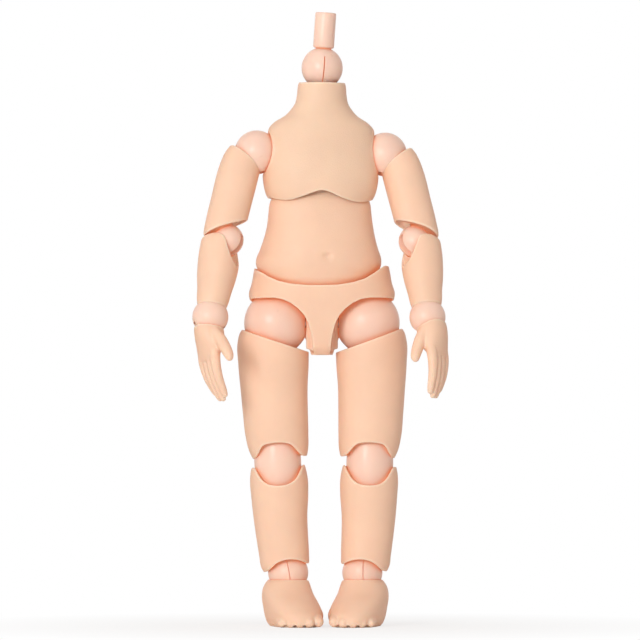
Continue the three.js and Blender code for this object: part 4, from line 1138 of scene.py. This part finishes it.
for name, side in sides:
    leg_place = limb_seat(name, side, "ankle_turn", across="knee_lower_bend", up="ankle_turn")
    add_sleeve(
        name + "_shin", side, leg_place, shin_levels, (shin_top, shin_end),
        (room_for(knee_room, shin_knee, shin_swings, knee_arch), room_for(ankle_room, arch=ankle_arch)),
        leg_rows, leg_columns,
    )


# Ankles: a ball in the arch of each shin, with a thin slit in front, where the tab on its pin
# shows, and room inside for the post that comes down from the shin.
ankle_radius = 3.44
ankle_slits = {"left": (0.45, -1.5), "right": (-0.3, -7)}
for name, side in sides:
    ball_place = limb_seat(name, side, "ankle_pitch", across="ankle_pitch", up="ankle_turn")
    ankle_piece = add_piece(
        name + "_ankle", *sphere_points(ankle_radius, 72, 112),
        ball_place, joint_plastic, name + "_ankle_ball", side, "joint",
    )
    slit_out, slit_lean = ankle_slits[name]
    slit_turn = Matrix.Rotation(math.radians(slit_lean), 4, "Y")
    slit_place = ball_place @ Matrix.Translation((slit_out, 0, 0)) @ slit_turn
    slit = box_tool("slit", (-0.06, -4, -3), (0.06, -2.4, 4), slit_place)
    tab_room = box_tool("tab_room", (-0.85, -2.1, -1.4), (0.85, 2.1, 4), ball_place)
    cut_away(ankle_piece, [slit, tab_room])


# Hands and feet: solid mouldings with rounded forms all over. Each is one body, so its forms are
# drawn as overlapping shapes, joined and softened.
def chain(line, count=26):
    """Round forms along a line of (x, y, z, radius), close enough to make one smooth limb."""
    unit, faces = sphere_points(1.0, 10, 16)
    return [(unit * radius + np.array([x, y, z]), faces) for x, y, z, radius in smooth_line(line, count)]


def turned_about_z(x, y, angle):
    c, s = np.cos(angle), np.sin(angle)
    return x * c - y * s, x * s + y * c


def turned_line(line, degrees, at=(0, 0, 0)):
    turned = [(*turned_about_z(x, y, math.radians(degrees)), z, radius) for x, y, z, radius in line]
    return [(x + at[0], y + at[1], z + at[2], radius) for x, y, z, radius in turned]


hand_flex = {"left": -14.5, "right": 2}
finger_twist = {"left": -6, "right": -24}
thumb_reach = {"left": 0.92, "right": 1.0}
palm_levels = [
    # height under the wrist, then half thickness, half breadth twice, and middle outwards
    (-7.9, 0.75, 2.4, 2.4, -0.5), (-7.2, 1.1, 2.75, 2.75, -0.5), (-5.9, 1.7, 2.96, 2.96, -0.46),
    (-4.15, 2.4, 2.96, 2.96, -0.3), (-2.25, 2.55, 2.73, 2.73, 0.02), (-1.65, 2.5, 2.5, 2.5, 0.1),
]
finger_steps = [
    # of a finger's length: down, out and its spread sideways, then its radius
    (-0.45, 0.03, 0.93, 1.05), (0.0, 0.0, 0.93, 0.98), (0.3, -0.07, 0.9, 0.86), (0.6, -0.2, 0.82, 0.76),
    (0.88, -0.38, 0.7, 0.64), (0.97, -0.44, 0.66, 0.5),
]
finger_roots = ((-2.12, 6.9), (-0.72, 7.4), (0.72, 7.2), (2.12, 6.1))
knuckle_out, knuckle_height = -0.48, -6.65
finger_lines = [
    [
        (knuckle_out + out * reach, ahead * spread, knuckle_height - down * reach, size)
        for down, out, spread, size in finger_steps
    ]
    for ahead, reach in finger_roots
]
twist_start, twist_length = 2, 4  # under the wrist
thumb_turn, thumb_root = 35, (-0.16, -1.45, -2.25)
thumb_line = [
    (0.6, 0.1, 0.9, 1.1), (-0.4, 0, -0.6, 1.15), (-2.0, 0, -2.2, 1.1), (-3.3, 0, -3.9, 1.0),
    (-4.05, 0, -5.1, 0.85), (-4.25, 0, -5.6, 0.65),
]
for name, side in sides:
    wrist_up = axis_of(name + "_wrist_turn", side)
    wrist_depth = axis_of(name + "_wrist_bend", side)
    flex = math.radians(side * hand_flex[name])
    hand_place = seat(
        name + "_wrist_bend",
        depth=wrist_depth,
        up=wrist_up * math.cos(flex) + wrist_depth.cross(wrist_up) * math.sin(flex),
    )
    palm_points, palm_faces = solid_rings(palm_levels, 24, 60, square=2.2)
    twist_share = np.clip((-palm_points[:, 2] - twist_start) / twist_length, 0, 1)
    palm_turn = np.radians(finger_twist[name]) * twist_share
    palm_points[:, 0], palm_points[:, 1] = turned_about_z(palm_points[:, 0], palm_points[:, 1], palm_turn)
    shapes = [(palm_points, palm_faces)]
    for line in finger_lines:
        shapes += chain(turned_line(line, finger_twist[name]))
    thumb = [(x * thumb_reach[name], y, z, radius) for x, y, z, radius in thumb_line]
    shapes += chain(turned_line(thumb, thumb_turn, thumb_root))
    hand = add_piece(
        name + "_hand_moulding", *joined(*shapes), hand_place, shell_plastic, name + "_hand", side
    )
    moulded(hand, [ball_tool("wrist_room", wrist_room, hand_place)], voxel=0.11, passes=4)

sole_level, sole_flat = -9.15, 0.00008
foot_levels = [
    # height under the ankle, then half width, front, back and middle outwards
    (sole_level, 3.9, 10.9, 3.9, -0.82), (-8.85, 4.22, 11.3, 4.4, -0.85), (-8.2, 4.6, 11.5, 4.8, -0.88),
    (-7.05, 4.88, 11.1, 5.0, -0.82), (-5.95, 4.78, 9.9, 4.98, -0.54), (-4.6, 4.58, 7.9, 4.8, -0.12),
    (-3.6, 4.34, 6.2, 4.55, 0.14), (-2.6, 4.08, 4.9, 4.2, 0.2), (-1.8, 3.75, 4.1, 3.85, 0.12),
    (-1.4, 3.5, 3.7, 3.65, 0.06), (-1.2, 3.32, 3.5, 3.5, 0.04),
]
toes = [
    # across, tip and radius of each toe, from the big one out
    (-3.8, -10.25, 0.98), (-2.2, -10.95, 0.92), (-0.5, -10.8, 0.87), (1.05, -10.05, 0.83),
    (2.35, -8.95, 0.78),
]
# of a toe from its root: share of its way across, back from the tip, then up and size in radii
toe_steps = [(0.95, 3.4, 1.5, 1.1), (1, 1.5, 1.25, 1.06), (1, 0.4, 1.02, 0.98), (1, 0, 0.95, 0.88)]
toe_gaps = [(-3.05, -11.6), (-1.33, -11.6), (0.28, -11.2), (1.75, -10.3)]
gap_radius, gap_height = 0.36, sole_level + 0.1
for name, side in sides:
    foot_depth = axis_of(name + "_ankle_tilt", side)
    foot_place = seat(name + "_ankle_tilt", depth=foot_depth, up=(0, 0, 1))
    shapes = [solid_rings(foot_levels, 40, 90, square=2.3)]
    for across, tip, radius in toes:
        toe = [
            (across * spread, tip + back, sole_level + radius * up, radius * size)
            for spread, back, up, size in toe_steps
        ]
        shapes += chain(toe, 14)
    foot = add_piece(
        name + "_foot_moulding", *joined(*shapes), foot_place, shell_plastic, name + "_foot", side
    )
    foot_cutters = [ball_tool("ankle_room", ankle_room, foot_place)]
    for across, ahead in toe_gaps:
        gap_start = (side * across, ahead - 1, gap_height)
        gap_end = (side * across * 0.97, ahead + 1.6, gap_height)
        foot_cutters.append(cylinder_tool("toe_gap", gap_radius, gap_start, gap_end, foot_place))
    foot_cutters.append(box_tool("under_sole", (-20, -20, -14), (20, 20, sole_level), foot_place))
    moulded(foot, foot_cutters, voxel=0.12, passes=3)
    # the smoothing leaves the sole a little uneven, so all of it is set down on the ground
    for vertex in foot.data.vertices:
        if vertex.co.z < sole_flat:
            vertex.co.z = 0
    foot.data.update()


# Pins, posts and hinges: the pins and the axle are turned steel, and the rest is moulded in the
# plastic of the joints. They keep their CAD shapes and show in the gaps and slots.
steel = bpy.data.materials.new("pin_steel")
steel.use_nodes = True
steel_tree = steel.node_tree
steel_where = add_node(steel_tree, "TexCoord").outputs["Object"]
turning_marks = noise(steel_tree, steel_where, 2500, 3)
steel_look = {
    "Base Color": (0.6, 0.58, 0.56, 1),
    "Metallic": 1,
    "Roughness": ranged(steel_tree, turning_marks, 0, 1, 0.22, 0.42),
}
feed(steel_tree, steel_tree.nodes["Principled BSDF"], steel_look)
for node_name, cad_piece in frame["nodes"].items():
    is_steel = node_name.endswith("_pin") or node_name == "hip_axle"
    for material_slot in cad_piece.material_slots:
        material_slot.material = steel if is_steel else joint_plastic
